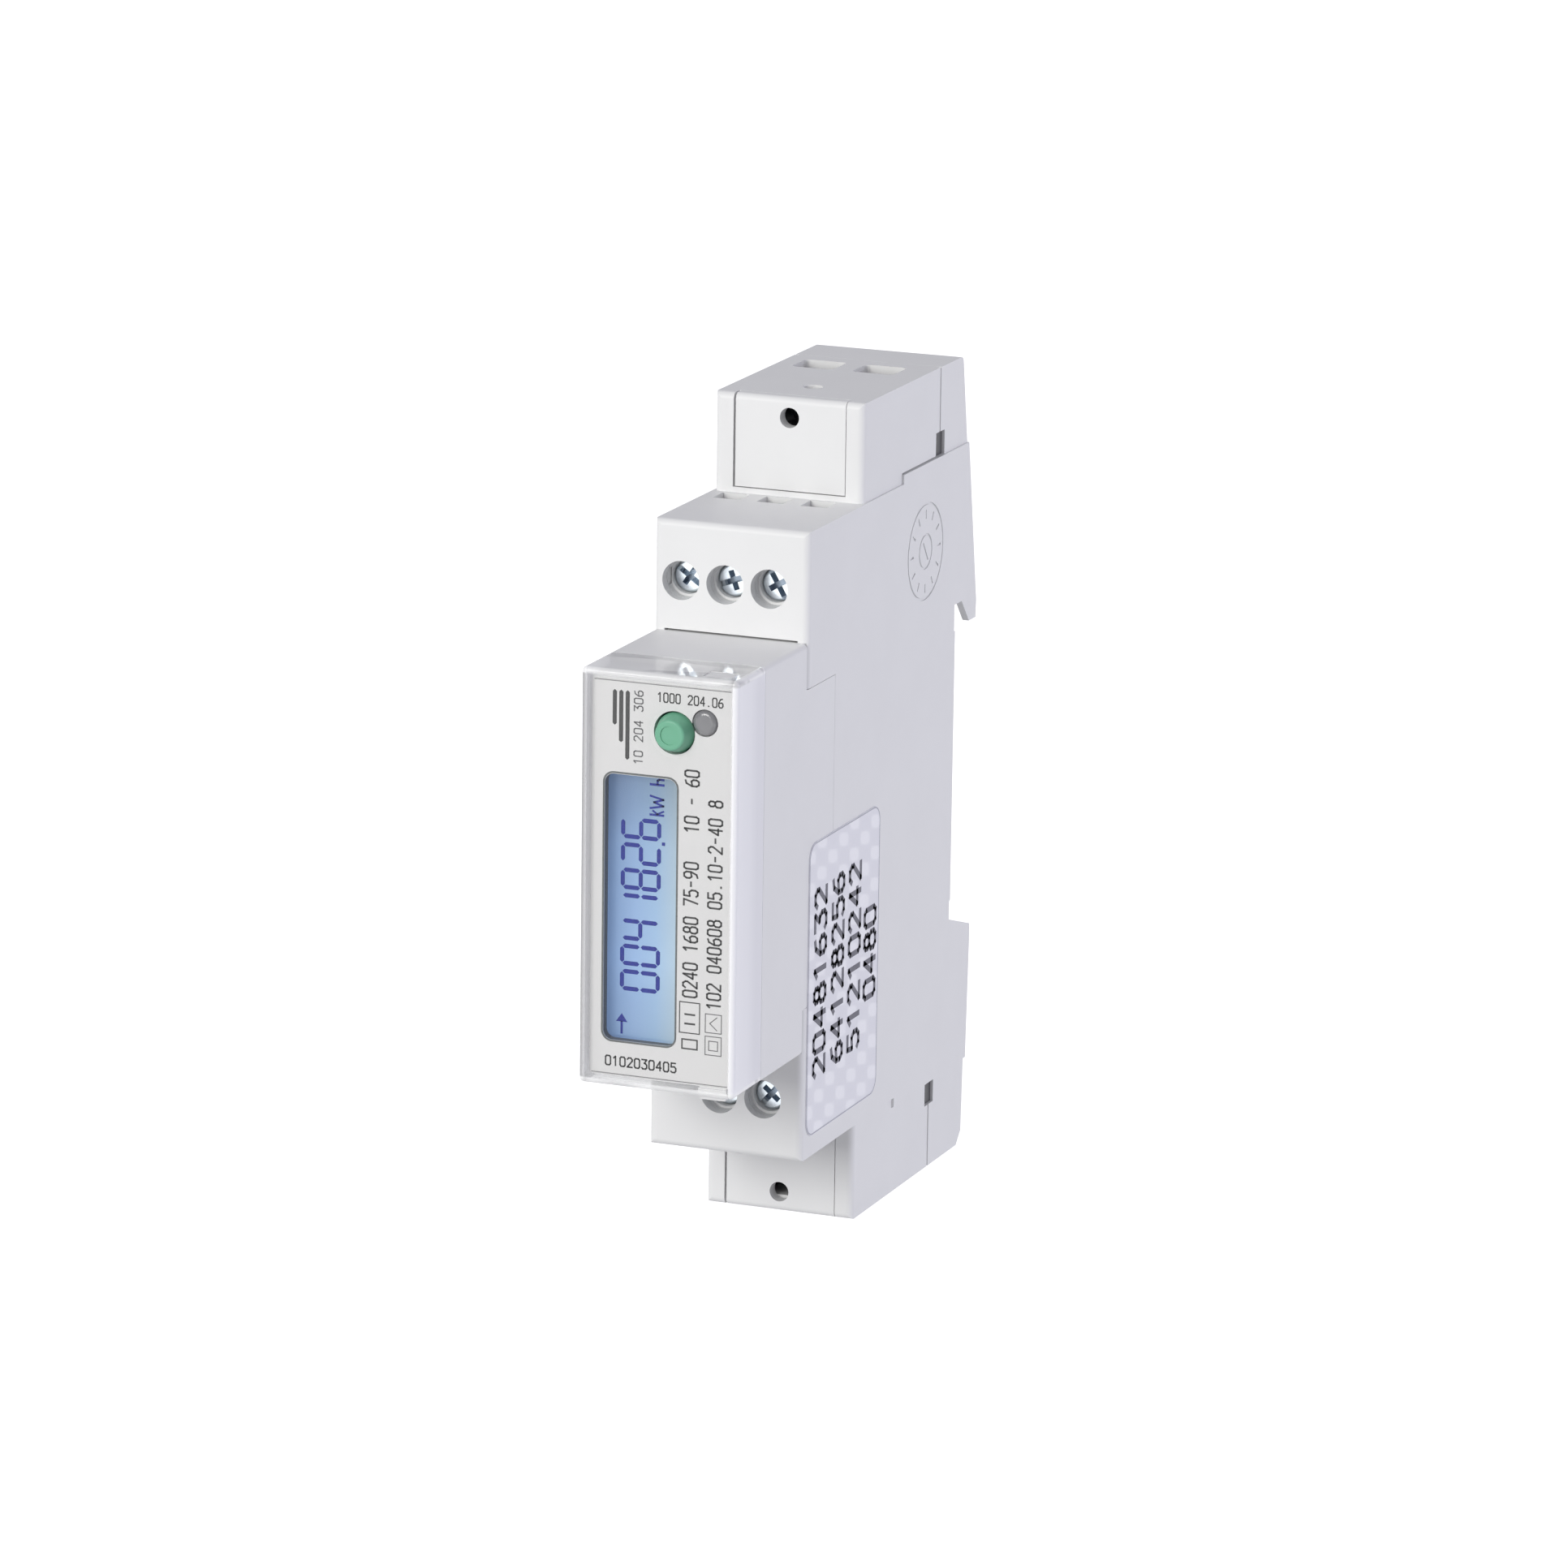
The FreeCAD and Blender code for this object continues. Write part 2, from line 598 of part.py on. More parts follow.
def signal_cage(x):
    outer = box(
        about(x, SIGNAL_CAGE_X),
        (SIGNAL_NUT_Y[0], SIGNAL_CAGE_BACK_Y[1]),
        about(SIGNAL_Z, SIGNAL_CAGE_Z),
    )
    window = box(
        about(x, SIGNAL_CAGE_X - SIGNAL_CAGE_SIDE_T),
        (SIGNAL_NUT_Y[1], SIGNAL_CAGE_BACK_Y[0]),
        about(SIGNAL_Z, SIGNAL_CAGE_Z + 1),
    )
    nut = rod_y(x, SIGNAL_Z, SIGNAL_SHANK_R + 0.05, (SIGNAL_NUT_Y[0] - 1, SIGNAL_NUT_Y[1] + 1))
    return without(outer, window, nut)


# ---------------------------------------------------------------- signal terminal blocks
def signal_terminal(places, x):
    """A moulded block with a head bore, a cage channel and a wire entry for each pole."""
    block = box(x, TERMINAL_Y, TERMINAL_Z)
    channel_z = about(SIGNAL_Z, SIGNAL_CAGE_Z + 0.1)
    channel_y = (SIGNAL_NUT_Y[0] - SIGNAL_LIFT - 0.1, SIGNAL_CAGE_BACK_Y[1] + 0.1)
    cuts = []
    for px in places:
        cuts.append(rod_y(px, SIGNAL_Z, ACCESS_R, (TERMINAL_Y[0] - 1, COLLAR_Y)))
        cuts.append(rod_y(px, SIGNAL_Z, SIGNAL_HEAD_R + 0.1, (COLLAR_Y - 1, SIGNAL_HEAD_Y[1] + FIT)))
        cuts.append(rod_y(px, SIGNAL_Z, SIGNAL_SHANK_R + 0.12, (TERMINAL_Y[0], channel_y[0] + 1)))
        cuts.append(box(about(px, SIGNAL_CAGE_X + 0.1), channel_y, channel_z))
        cuts.append(
            box(
                about(px, SIGNAL_WIRE / 2 - 0.1),
                about(SIGNAL_WIRE_Y, SIGNAL_WIRE / 2 - 0.1),
                (SIGNAL_Z, TERMINAL_Z[1] + 1),
            )
        )
        cuts.append(
            box(about(px, 1.05), (CONTACT_Y[0] - FIT, CONTACT_Y[1] + FIT), (TERMINAL_Z[0] - 1, SIGNAL_Z))
        )
    return without(block, *cuts)


def signal_contacts(places):
    """Flat contacts inside the cages, each with a leg to the main board."""
    contacts = None
    for i, px in enumerate(places):
        leg_z = TERMINAL_Z[0] - 0.9 - 1.0 * (len(places) - 1 - i)
        blade = box(about(px, 1.0), CONTACT_Y, (leg_z, SIGNAL_Z + 1.9))
        leg = box((px - 1.0, BOARD_X[1] + 0.05), CONTACT_Y, (leg_z, leg_z + 0.6))
        one = joined(blade, leg)
        contacts = one if contacts is None else Part.makeCompound(contacts.Solids + one.Solids)
    return contacts


# ---------------------------------------------------------------- conductors
def neutral_busbar():
    """One straight copper bar from the upper neutral clamp to the lower one."""
    reach = POWER_Z + 3.0
    return box(about(POWER_X[1], 1.8), BAR_Y, (-reach, reach))


def line_busbar():
    """The upper half of the line conductor, down to the shunt."""
    return box(about(POWER_X[0], 1.8), BAR_Y, (5.0, POWER_Z + 3.0))


def shunt():
    """The resistive strip between the two halves of the line conductor."""
    strip = box(about(POWER_X[0], 1.8), (BAR_Y[0] + 0.2, BAR_Y[1] - 0.2), (-5.0, 5.0))
    slots = [
        box((POWER_X[0] - 3, POWER_X[0] - 1.2), (-20, 0), (-0.6, 0.6)),
        box((POWER_X[0] + 1.2, POWER_X[0] + 3), (-20, 0), (-0.6, 0.6)),
    ]
    return without(strip, *slots)


def round_lead(points, radius):
    """An insulated wire: straight runs joined by tangent arcs, swept as one tube."""
    edges = []
    start = points[0]
    for before, corner, after in zip(points, points[1:], points[2:]):
        into = (before - corner).normalize()
        out = (after - corner).normalize()
        half_turn = (math.pi - into.getAngle(out)) / 2
        shorter = min((corner - before).Length, (after - corner).Length)
        bend = 0.45 * shorter / math.tan(half_turn)
        setback = bend * math.tan(half_turn)
        arc_in = corner + into * setback
        arc_out = corner + out * setback
        to_centre = (into + out).normalize()
        centre = corner + to_centre * (bend / math.cos(half_turn))
        middle = centre - to_centre * bend
        edges.append(Part.LineSegment(start, arc_in).toShape())
        edges.append(Part.Arc(arc_in, middle, arc_out).toShape())
        start = arc_out
    edges.append(Part.LineSegment(start, points[-1]).toShape())
    path = Part.Wire(edges)
    first = (points[1] - points[0]).normalize()
    ring = Part.Wire([Part.makeCircle(radius, points[0], first)])
    return path.makePipeShell([ring], True, True)


def sense_leads():
    """Two thin wires from the shunt's ends to the main board."""
    radius = 0.35
    start_y = BAR_Y[0] - 0.05
    leads = []
    for z, lift in ((6.6, 2.0), (-6.6, -2.0)):
        route = [
            V(-4.0, start_y, z),
            V(-4.0, start_y - 3.4, z + 0.3 * lift),
            V(-0.8, start_y - 4.6, z + lift),
            V(3.4, start_y - 4.2, z),
            V(BOARD_X[0] - FIT, start_y - 4.2, z),
        ]
        leads.append(round_lead(route, radius))
    return Part.makeCompound([s for lead in leads for s in lead.Solids])


# ---------------------------------------------------------------- boards and components
def main_pcb():
    board = box(BOARD_X, BOARD_Y, (-BOARD_Z, BOARD_Z))
    slots = [box(about(BOARD_X[0], 3), (CONTACT_Y[0] - 0.1, CONTACT_Y[1] + 0.1), z) for z in board_slots()]
    header_holes = [
        box(about(BOARD_X[0], 3), about(HEADER_Y, 0.4), about(header_z, 0.4))
        for header_z in header_pins()
    ]
    heads_room = box(about(BOARD_X[0], 3), (BOARD_Y[0] - 1, -39.2), (25.0, BOARD_Z + 1))
    return without(board, *slots, *header_holes, heads_room, below(heads_room))


def board_slots():
    """The z spans where contact legs cross the main board."""
    spans = []
    for count, sign in ((len(SIGNAL_X), 1), (len(SIGNAL_LOW_X), -1)):
        for i in range(count):
            leg_z = TERMINAL_Z[0] - 0.9 - 1.0 * i
            spans.append(tuple(sorted((sign * (leg_z - 0.1), sign * (leg_z + 0.7)))))
    return spans


def header_pins():
    pitch = 2.0
    count = 6
    return [(i - (count - 1) / 2) * pitch for i in range(count)]


def board_header():
    """A right-angle pin header that joins the display board to the main board."""
    body = box((3.4, 5.9), (-40.6, -38.4), (-6.2, 6.2))
    pins = []
    for z in header_pins():
        pins.append(box((4.9, BOARD_X[1] + 0.05), about(HEADER_Y, 0.3), about(z, 0.3)))
        pins.append(box(about(4.6, 0.3), (DISPLAY_PCB_Y[0] + 0.1, -40.0), about(z, 0.3)))
    return joined(body, *pins)


def display_pcb():
    board = box((-7.2, 7.2), DISPLAY_PCB_Y, (-20.6, 20.6))
    holes = [box(about(4.6, 0.4), (-60, -50), about(z, 0.4)) for z in header_pins()]
    leads = [rod_y(LED_X + dx, LED_Z, 0.4, (-60, -50)) for dx in (-0.9, 0.9)]
    return without(board, *holes, *leads)


def film_capacitor():
    """The mains dropper capacitor, a rounded box with two leads."""
    body = soft_box((-6.6, 3.2), (-27.5, -18.2), (-21.0, -9.0), 0.6, 0)
    leads = [rod_x(y, -15.0, 0.35, (3.0, BOARD_X[0])) for y in (-26.0, -19.5)]
    return joined(body, *leads)


def smoothing_capacitor():
    """An electrolytic can with a crimp groove and its rubber end towards the board."""
    y, z, radius = -37.0, 10.5, 3.1
    can = rounded(rod_x(y, z, radius, (-7.0, 4.4)), 0.3, lambda e: e.Closed and on(e, x=-7.0))
    ring = rod_x(y, z, radius + 1, (2.6, 3.3)).cut(rod_x(y, z, radius - 0.3, (2.6, 3.3)))
    leads = [rod_x(y + dy, z, 0.3, (4.3, BOARD_X[0])) for dy in (-1.25, 1.25)]
    return joined(without(can, ring), *leads)


def varistor():
    """A coated disc with two leads."""
    y, z = -20.0, 17.0
    disc = rounded(rod_x(y, z, 4.4, (-0.6, 2.6)), 1.0, lambda e: e.Closed)
    leads = [rod_x(y + dy, z, 0.4, (2.0, BOARD_X[0])) for dy in (-2.5, 2.5)]
    return joined(disc, *leads)


def inrush_resistor():
    """A ceramic resistor standing on the board."""
    body = rounded(rod_x(-32.0, -2.5, 1.6, (-4.5, 4.0)), 0.5, lambda e: e.Closed)
    lead = rod_x(-32.0, -2.5, 0.35, (3.8, BOARD_X[0]))
    return joined(body, lead)


def pulse_transformer():
    """The small isolating transformer: a ferrite core around a wound bobbin."""
    core = box((-5.2, 4.8), (-38.8, -29.8), (-19.0, -8.0))
    rooms = [
        box((-2.9, 2.5), (-39.5, -36.8), (-18.0, -9.0)),
        box((-2.9, 2.5), (-31.8, -29.0), (-18.0, -9.0)),
    ]
    feet = [
        box((4.6, BOARD_X[0]), about(y, 0.3), about(z, 0.3))
        for y in (-37.5, -31.0)
        for z in (-17.5, -13.5, -9.5)
    ]
    return joined(without(core, *rooms), *feet)


def chip(y, z, x_thick=1.1, legs=4, pitch=1.0):
    """A small-outline chip flat on the board, with legs on two sides."""
    body = box((BOARD_X[0] - x_thick - 0.1, BOARD_X[0] - 0.1), y, z)
    middle_z = sum(z) / 2
    feet = []
    for i in range(legs):
        leg_z = middle_z + (i - (legs - 1) / 2) * pitch
        feet.append(box((BOARD_X[0] - 0.4, BOARD_X[0]), (y[0] - 0.9, y[1] + 0.9), about(leg_z, 0.2)))
    return joined(body, *feet)


def metering_chip():
    return chip((-27.5, -23.5), (2.0, 8.0), legs=6, pitch=0.9)


def microcontroller():
    return chip((-33.5, -27.8), (11.0, 17.5), legs=7, pitch=0.8)


def optocouplers():
    """Three isolating couplers beside the signal terminals, in one node."""
    y = (-26.0, -22.5)
    spans = [(22.5, 25.5), (27.5, 30.5), (-30.0, -27.0)]
    solids = [s for z in spans for s in chip(y, z, x_thick=1.9, legs=2, pitch=1.6).Solids]
    return Part.makeCompound(solids)


# ---------------------------------------------------------------- display stack
def front_holes(y):
    """The display window, the button hole and the lamp hole, cut along Y."""
    window = soft_box(WINDOW_X, y, WINDOW_Z, WINDOW_R, 1)
    return [window, rod_y(BUTTON_X, BUTTON_Z, BUTTON_HOLE_R, y), rod_y(LED_X, LED_Z, LED_R + 0.05, y)]


def front_bezel():
    """The white carrier behind the clear cover, with a lip for the hood and tabs for the cover."""
    x = (-BEZEL_X, BEZEL_X)
    outer = soft_box(x, (BEZEL_FRONT_Y, HOOD_FRONT_Y), (-BEZEL_Z, BEZEL_Z), 0.4, 1)
    lip = box((-7.5, 7.5), (HOOD_FRONT_Y - 1, HOOD_FRONT_Y + 1.5), (-21.05, 21.05))
    upper_tab = box(TAB_X, TAB_Y, (BEZEL_Z - 0.5, HOOD_Z - 0.05))
    lower_tab = soft_box(TAB_X, TAB_Y, (-HOOD_Z - TAB_REACH, 0.5 - BEZEL_Z), 0.2, 1)
    bezel = joined(outer, lip, upper_tab, lower_tab)
    room = box((-7.25, 7.25), (BEZEL_FRONT_Y + BEZEL_T, 0), (-20.7, 20.7))
    return without(bezel, room, *front_holes((BEZEL_FRONT_Y - 1, 0)))


def label_sheet():
    """The printed film on the front of the carrier."""
    y = (BEZEL_FRONT_Y - LABEL_T, BEZEL_FRONT_Y)
    sheet = soft_box((-BEZEL_X + 0.05, BEZEL_X - 0.05), y, LABEL_Z, 0.5, 1)
    return without(sheet, *front_holes((y[0] - 1, y[1] + 1)))


def window_cover():
    """The clear cap over the display, with a button hole and a slot for each snap tab."""
    x = (-BODY_HALF_W, BODY_HALF_W)
    outer = box(x, (COVER_FRONT_Y, HOOD_FRONT_Y - FIT), (-HOOD_Z, HOOD_Z))
    outer = rounded(outer, 0.5, lambda e: along(e, 1), lambda e: on(e, y=COVER_FRONT_Y))
    inner_x = BODY_HALF_W - COVER_T
    inner_z = HOOD_Z - COVER_T
    room = soft_box((-inner_x, inner_x), (COVER_FRONT_Y + COVER_T, 0), (-inner_z, inner_z), 0.3, 1)
    hole = rod_y(BUTTON_X, BUTTON_Z, COVER_HOLE_R, (COVER_FRONT_Y - 1, -60))
    slot_x = (TAB_X[0] - 0.1, TAB_X[1] + 0.1)
    slot = box(slot_x, (TAB_Y[0] - 0.1, TAB_Y[1] + 0.1), (inner_z - 0.3, HOOD_Z + 1))
    return without(outer, room, hole, slot, below(slot))


def lcd_glass():
    """Two bonded glass sheets, the front one shorter so that the contact ledge shows."""
    rear_y = LCD_FRONT_Y + GLASS_T
    front = box(LCD_X, (LCD_FRONT_Y, rear_y), (LCD_Z[0] + 2.0, LCD_Z[1]))
    rear = box(LCD_X, (rear_y, rear_y + GLASS_T), LCD_Z)
    return joined(front, rear)


def backlight():
    return soft_box((LCD_X[0] + 0.2, LCD_X[1] - 0.2), BACKLIGHT_Y, (LCD_Z[0] + 0.4, LCD_Z[1] - 0.2), 0.5, 1)


def button_cap():
    """The push button: a tapered disc with a dished face, two ears that keep it in, and a stem."""
    base = rod_y(BUTTON_X, BUTTON_Z, BUTTON_R, (BUTTON_TAPER_Y, -60.8))
    height = BUTTON_TAPER_Y - BUTTON_FRONT_Y
    root = V(BUTTON_X, BUTTON_TAPER_Y, BUTTON_Z)
    taper = Part.makeCone(BUTTON_R, BUTTON_FACE_R, height, root, V(0, -1, 0))
    taper = rounded(taper, 0.3, lambda e: e.Closed and on(e, y=BUTTON_FRONT_Y))
    dish = rod_y(BUTTON_X, BUTTON_Z, BUTTON_FACE_R - 0.6, (BUTTON_FRONT_Y - 1, BUTTON_FRONT_Y + 0.12))
    shaft = joined(base, without(taper, dish))
    ears = box(about(BUTTON_X, 0.9), (-61.35, -60.75), about(BUTTON_Z, 2.6))
    stem = rod_y(BUTTON_X, BUTTON_Z, 1.2, (-60.9, -59.75))
    return joined(shaft, ears, stem)


def tact_switch():
    body = soft_box(about(BUTTON_X, 1.9), (-59.1, DISPLAY_PCB_Y[0]), about(BUTTON_Z, 1.9), 0.3, 1)
    return without(body, rod_y(BUTTON_X, BUTTON_Z, 1.0, (-60, -57.9)))


def tact_plunger():
    return rod_y(BUTTON_X, BUTTON_Z, 0.85, (-59.7, -58.6))


def pulse_led():
    """A blunt-nosed light-emitting diode with a base flange and two leads."""
    barrel = rod_y(LED_X, LED_Z, LED_R, (LED_FRONT_Y, -57.3))
    barrel = rounded(barrel, 0.6, lambda e: e.Closed and on(e, y=LED_FRONT_Y))
    flange = rod_y(LED_X, LED_Z, LED_R + 0.05, (-58.1, -57.2))
    leads = [rod_y(LED_X + dx, LED_Z, 0.25, (-57.4, -55.4)) for dx in (-0.9, 0.9)]
    return joined(barrel, flange, *leads)


# ---------------------------------------------------------------- rail clip
def din_clip():
    """The sliding foot: a flat bar with a ramped nose and a window for its spring."""
    bar = prism_x(
        [
            (CLIP_Y[0], CLIP_Z[0]),
            (CLIP_Y[0], CLIP_Z[1]),
            (CLIP_NOSE_Y, CLIP_Z[1] + 1.0),
            (CLIP_NOSE_Y, CLIP_NOSE_Z),
            (2.0, CLIP_NOSE_Z),
            (CLIP_Y[1], CLIP_Z[1] + 0.4),
            (CLIP_Y[1], CLIP_Z[0]),
        ],
        (-CLIP_X, CLIP_X),
    )
    window = box((-2.3, 2.3), (CLIP_Y[0] - 1, CLIP_Y[1] + 1), (-38.3, SPRING_TOP_Z))
    notch = box((-2.5, 2.5), (CLIP_Y[0] - 1, CLIP_Y[0] + 1.6), (CLIP_Z[0] - 1, CLIP_Z[0] + 1.9))
    return without(bar, window, notch)


def clip_spring():
    """A compression spring: one wire wound as a helix between its two seats."""
    y = sum(CLIP_Y) / 2
    low, high = SPRING_SEAT_Z[1], SPRING_TOP_Z
    wire_r = SPRING_WIRE / 2
    pitch = (high - low - SPRING_WIRE) / SPRING_TURNS
    helix = Part.makeHelix(pitch, pitch * SPRING_TURNS, SPRING_R)
    start = V(SPRING_R, 0, 0)
    ring = Part.Wire([Part.makeCircle(wire_r, start, V(0, 1, 0.08))])
    coil = Part.Wire(helix.Edges).makePipeShell([ring], True, True)
    coil.translate(V(0, y, low + wire_r))
    return coil


def security_sticker():
    """A thin sealing film across the joint between hood and case, on the right side."""
    thickness = 0.1
    x = (BODY_HALF_W, BODY_HALF_W + thickness)
    return soft_box(x, (-42.9, -22.3), (-31.9, 0.3), 1.8, 0)


# ---------------------------------------------------------------- output
def build_all():
    os.makedirs("parts", exist_ok=True)
    saved("main_case", main_case())
    saved("side_plate", side_plate())
    saved("front_hood", front_hood())
    for end, place in (("top", lambda s: s), ("bottom", below)):
        saved("terminal_cap_" + end, place(terminal_cap()))
        saved("seal_lid_" + end, place(seal_lid()))
        saved("terminal_insert_" + end, place(terminal_insert()))
        saved("line_busbar_" + end, place(line_busbar()))
        for i, (wire, x) in enumerate(zip(("line", "neutral"), POWER_X)):
            turn = 25 + 50 * i + (15 if end == "bottom" else 0)
            saved(f"power_screw_{wire}_{end}", place(power_screw(x, turn)))
            saved(f"power_cage_{wire}_{end}", place(power_cage(x)))
    signal_turns = {"top": (35, -20, 60), "bottom": (15, 50)}
    for end, places, place in (("top", SIGNAL_X, lambda s: s), ("bottom", SIGNAL_LOW_X, below)):
        block_x = TERMINAL_X if end == "top" else (SIGNAL_LOW_X[0] - 2.5, TERMINAL_X[1])
        saved("signal_terminal_" + end, place(signal_terminal(places, block_x)))
        saved("signal_contacts_" + end, place(signal_contacts(places)))
        for i, x in enumerate(places):
            saved(f"signal_screw_{end}_{i + 1}", place(signal_screw(x, signal_turns[end][i])))
            saved(f"signal_cage_{end}_{i + 1}", place(signal_cage(x)))
    saved("neutral_busbar", neutral_busbar())
    saved("shunt", shunt())
    saved("sense_leads", sense_leads())
    saved("main_pcb", main_pcb())
    saved("board_header", board_header())
    saved("display_pcb", display_pcb())
    saved("film_capacitor", film_capacitor())
    saved("smoothing_capacitor", smoothing_capacitor())
    saved("varistor", varistor())
    saved("inrush_resistor", inrush_resistor())
    saved("pulse_transformer", pulse_transformer())
    saved("metering_chip", metering_chip())
    saved("microcontroller", microcontroller())
    saved("optocouplers", optocouplers())
    saved("front_bezel", front_bezel())
    saved("label_sheet", label_sheet())
    saved("window_cover", window_cover())
    saved("lcd_glass", lcd_glass())
    saved("backlight", backlight())
    saved("button_cap", button_cap())
    saved("tact_switch", tact_switch())
    saved("tact_plunger", tact_plunger())
    saved("pulse_led", pulse_led())
    saved("din_clip", din_clip())
    saved("clip_spring", clip_spring())
    saved("security_sticker", security_sticker())


build_all()
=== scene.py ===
import json
import math

import bmesh
import bpy
from mathutils import Matrix, Vector


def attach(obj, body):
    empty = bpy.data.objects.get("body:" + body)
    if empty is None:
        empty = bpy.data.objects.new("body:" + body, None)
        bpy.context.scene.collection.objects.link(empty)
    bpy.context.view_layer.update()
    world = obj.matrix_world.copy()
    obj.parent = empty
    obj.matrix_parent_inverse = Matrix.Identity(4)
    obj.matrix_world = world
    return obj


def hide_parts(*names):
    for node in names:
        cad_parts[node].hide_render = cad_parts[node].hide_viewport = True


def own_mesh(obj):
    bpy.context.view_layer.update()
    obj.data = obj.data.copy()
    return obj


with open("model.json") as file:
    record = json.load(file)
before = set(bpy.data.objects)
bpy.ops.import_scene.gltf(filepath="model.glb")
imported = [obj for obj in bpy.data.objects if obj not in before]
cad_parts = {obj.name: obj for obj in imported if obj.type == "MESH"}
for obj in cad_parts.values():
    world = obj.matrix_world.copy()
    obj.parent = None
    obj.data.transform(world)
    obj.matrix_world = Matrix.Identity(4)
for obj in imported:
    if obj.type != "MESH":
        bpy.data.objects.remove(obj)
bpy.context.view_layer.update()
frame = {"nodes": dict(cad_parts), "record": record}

MM = 0.001
nodes = frame["nodes"]

# ---------------------------------------------------------------- places, in millimetres in the row frame
LABEL_Y = -62.45              # front of the label
LCD_Y = -60.8                 # front of the display glass
STICKER_X = 8.85              # outer face of the sticker
MARK_GAP = 0.004              # between a printed mark and the surface under it
WINDOW_X = (-6.4, 1.6)        # the display window
WINDOW_Z = (-17.6, 11.0)
COVER_HALF_X = 8.75           # half width of the clear cover
RIM_X = 8.02                  # where the cover's rim starts, from its middle
RIM_Z = 21.55
SIGNAL_X = -0.75              # the middle signal screw; its row is mirrored about z = 0
SIGNAL_Z = 27.75
SIGNAL_HALF_PITCH = 2.5
SCALE_Y = 3.15                # half periods of the sticker's scales
SCALE_Z = 1.75
FLOOR_Z = -0.045              # metres


# ---------------------------------------------------------------- material helpers
class Paint:
    """A Principled material whose varying inputs come from procedural nodes in object space."""

    def __init__(self, name, **sockets):
        self.mat = bpy.data.materials.new(name)
        self.mat.use_nodes = True
        self.tree = self.mat.node_tree
        self.bsdf = next(n for n in self.tree.nodes if n.type == "BSDF_PRINCIPLED")
        self.coords = self.tree.nodes.new("ShaderNodeTexCoord")
        for key, value in sockets.items():
            self.bsdf.inputs[key.replace("_", " ")].default_value = value

    def link(self, source, target):
        self.tree.links.new(source, target)
        return target

    def node(self, kind, **settings):
        n = self.tree.nodes.new("ShaderNode" + kind)
        for key, value in settings.items():
            setattr(n, key, value)
        return n

    def noise(self, scale, detail=3.0, stretch=(1, 1, 1), distortion=0.0):
        """Fractal noise in metres: scale is features per metre."""
        mapping = self.node("Mapping")
        mapping.inputs["Scale"].default_value = stretch
        self.link(self.coords.outputs["Object"], mapping.inputs["Vector"])
        n = self.node("TexNoise")
        n.inputs["Scale"].default_value = scale
        n.inputs["Detail"].default_value = detail
        n.inputs["Distortion"].default_value = distortion
        self.link(mapping.outputs["Vector"], n.inputs["Vector"])
        return n.outputs["Fac"]

    def axis(self, letter):
        """The object-space coordinate along one axis, in millimetres."""
        split = self.node("SeparateXYZ")
        self.link(self.coords.outputs["Object"], split.inputs[0])
        return self.math("MULTIPLY", split.outputs[letter], 1000.0)

    def math(self, operation, a, b=None, clamp=False):
        n = self.node("Math", operation=operation, use_clamp=clamp)
        for i, value in enumerate((a, b)):
            if value is None:
                continue
            if isinstance(value, (int, float)):
                n.inputs[i].default_value = value
            else:
                self.link(value, n.inputs[i])
        return n.outputs[0]

    def ramp(self, factor, *stops):
        """A colour ramp with (position, colour) stops."""
        n = self.node("ValToRGB")
        elements = n.color_ramp.elements
        while len(elements) < len(stops):
            elements.new(0.5)
        for element, (position, colour) in zip(elements, stops):
            element.position = position
            element.color = (*colour, 1.0)
        self.link(factor, n.inputs["Fac"])
        return n.outputs["Color"]

    def mix(self, factor, a, b, mode="MIX"):
        n = self.node("Mix", data_type="RGBA", blend_type=mode)
        for index, value in ((0, factor), (6, a), (7, b)):
            if isinstance(value, (int, float)):
                n.inputs[index].default_value = value
            elif isinstance(value, tuple):
                n.inputs[index].default_value = (*value, 1.0)
            else:
                self.link(value, n.inputs[index])
        return n.outputs[2]

    def span(self, factor, low, high):
        """Maps a 0 to 1 value to low to high."""
        n = self.node("MapRange")
        n.inputs["To Min"].default_value = low
        n.inputs["To Max"].default_value = high
        self.link(factor, n.inputs["Value"])
        return n.outputs["Result"]

    def bump(self, height, strength, distance):
        n = self.node("Bump")
        n.inputs["Strength"].default_value = strength
        n.inputs["Distance"].default_value = distance
        self.link(height, n.inputs["Height"])
        self.link(n.outputs["Normal"], self.bsdf.inputs["Normal"])

    def colour(self, source):
        self.link(source, self.bsdf.inputs["Base Color"])

    def roughness(self, source):
        self.link(source, self.bsdf.inputs["Roughness"])


def shade(colour, k):
    return tuple(min(1.0, c * k) for c in colour)


def plastic(name, colour, rough, grain=9000.0, bump=0.08, spread=0.01, **sockets):
    """Moulded plastic: faint flow mottling, a fine spark-eroded grain and slightly uneven gloss."""
    p = Paint(name, **sockets)
    flow = p.noise(140.0, 3.0)
    p.colour(p.ramp(flow, (0.3, shade(colour, 1 - spread)), (0.7, shade(colour, 1 + spread))))
    fine = p.noise(grain, 2.0)
    p.roughness(p.span(p.noise(700.0, 3.0), rough - 0.05, rough + 0.06))
    p.bump(fine, bump, 0.00003)
    return p


def metal(name, colour, rough, brushed=None, spread=0.12):
    """Plated or bare metal, with drawing lines along one axis or a mottled passivation."""
    p = Paint(name, Metallic=1.0)
    stretch = brushed or (1, 1, 1)
    grain = p.noise(2600.0, 4.0, stretch)
    cloud = p.noise(500.0, 2.0)
    tone = p.ramp(cloud, (0.25, shade(colour, 1 - spread)), (0.75, shade(colour, 1 + spread)))
    p.colour(tone)
    p.roughness(p.span(grain, max(0.05, rough - 0.1), rough + 0.12))
    p.bump(grain, 0.15, 0.00002)
    return p


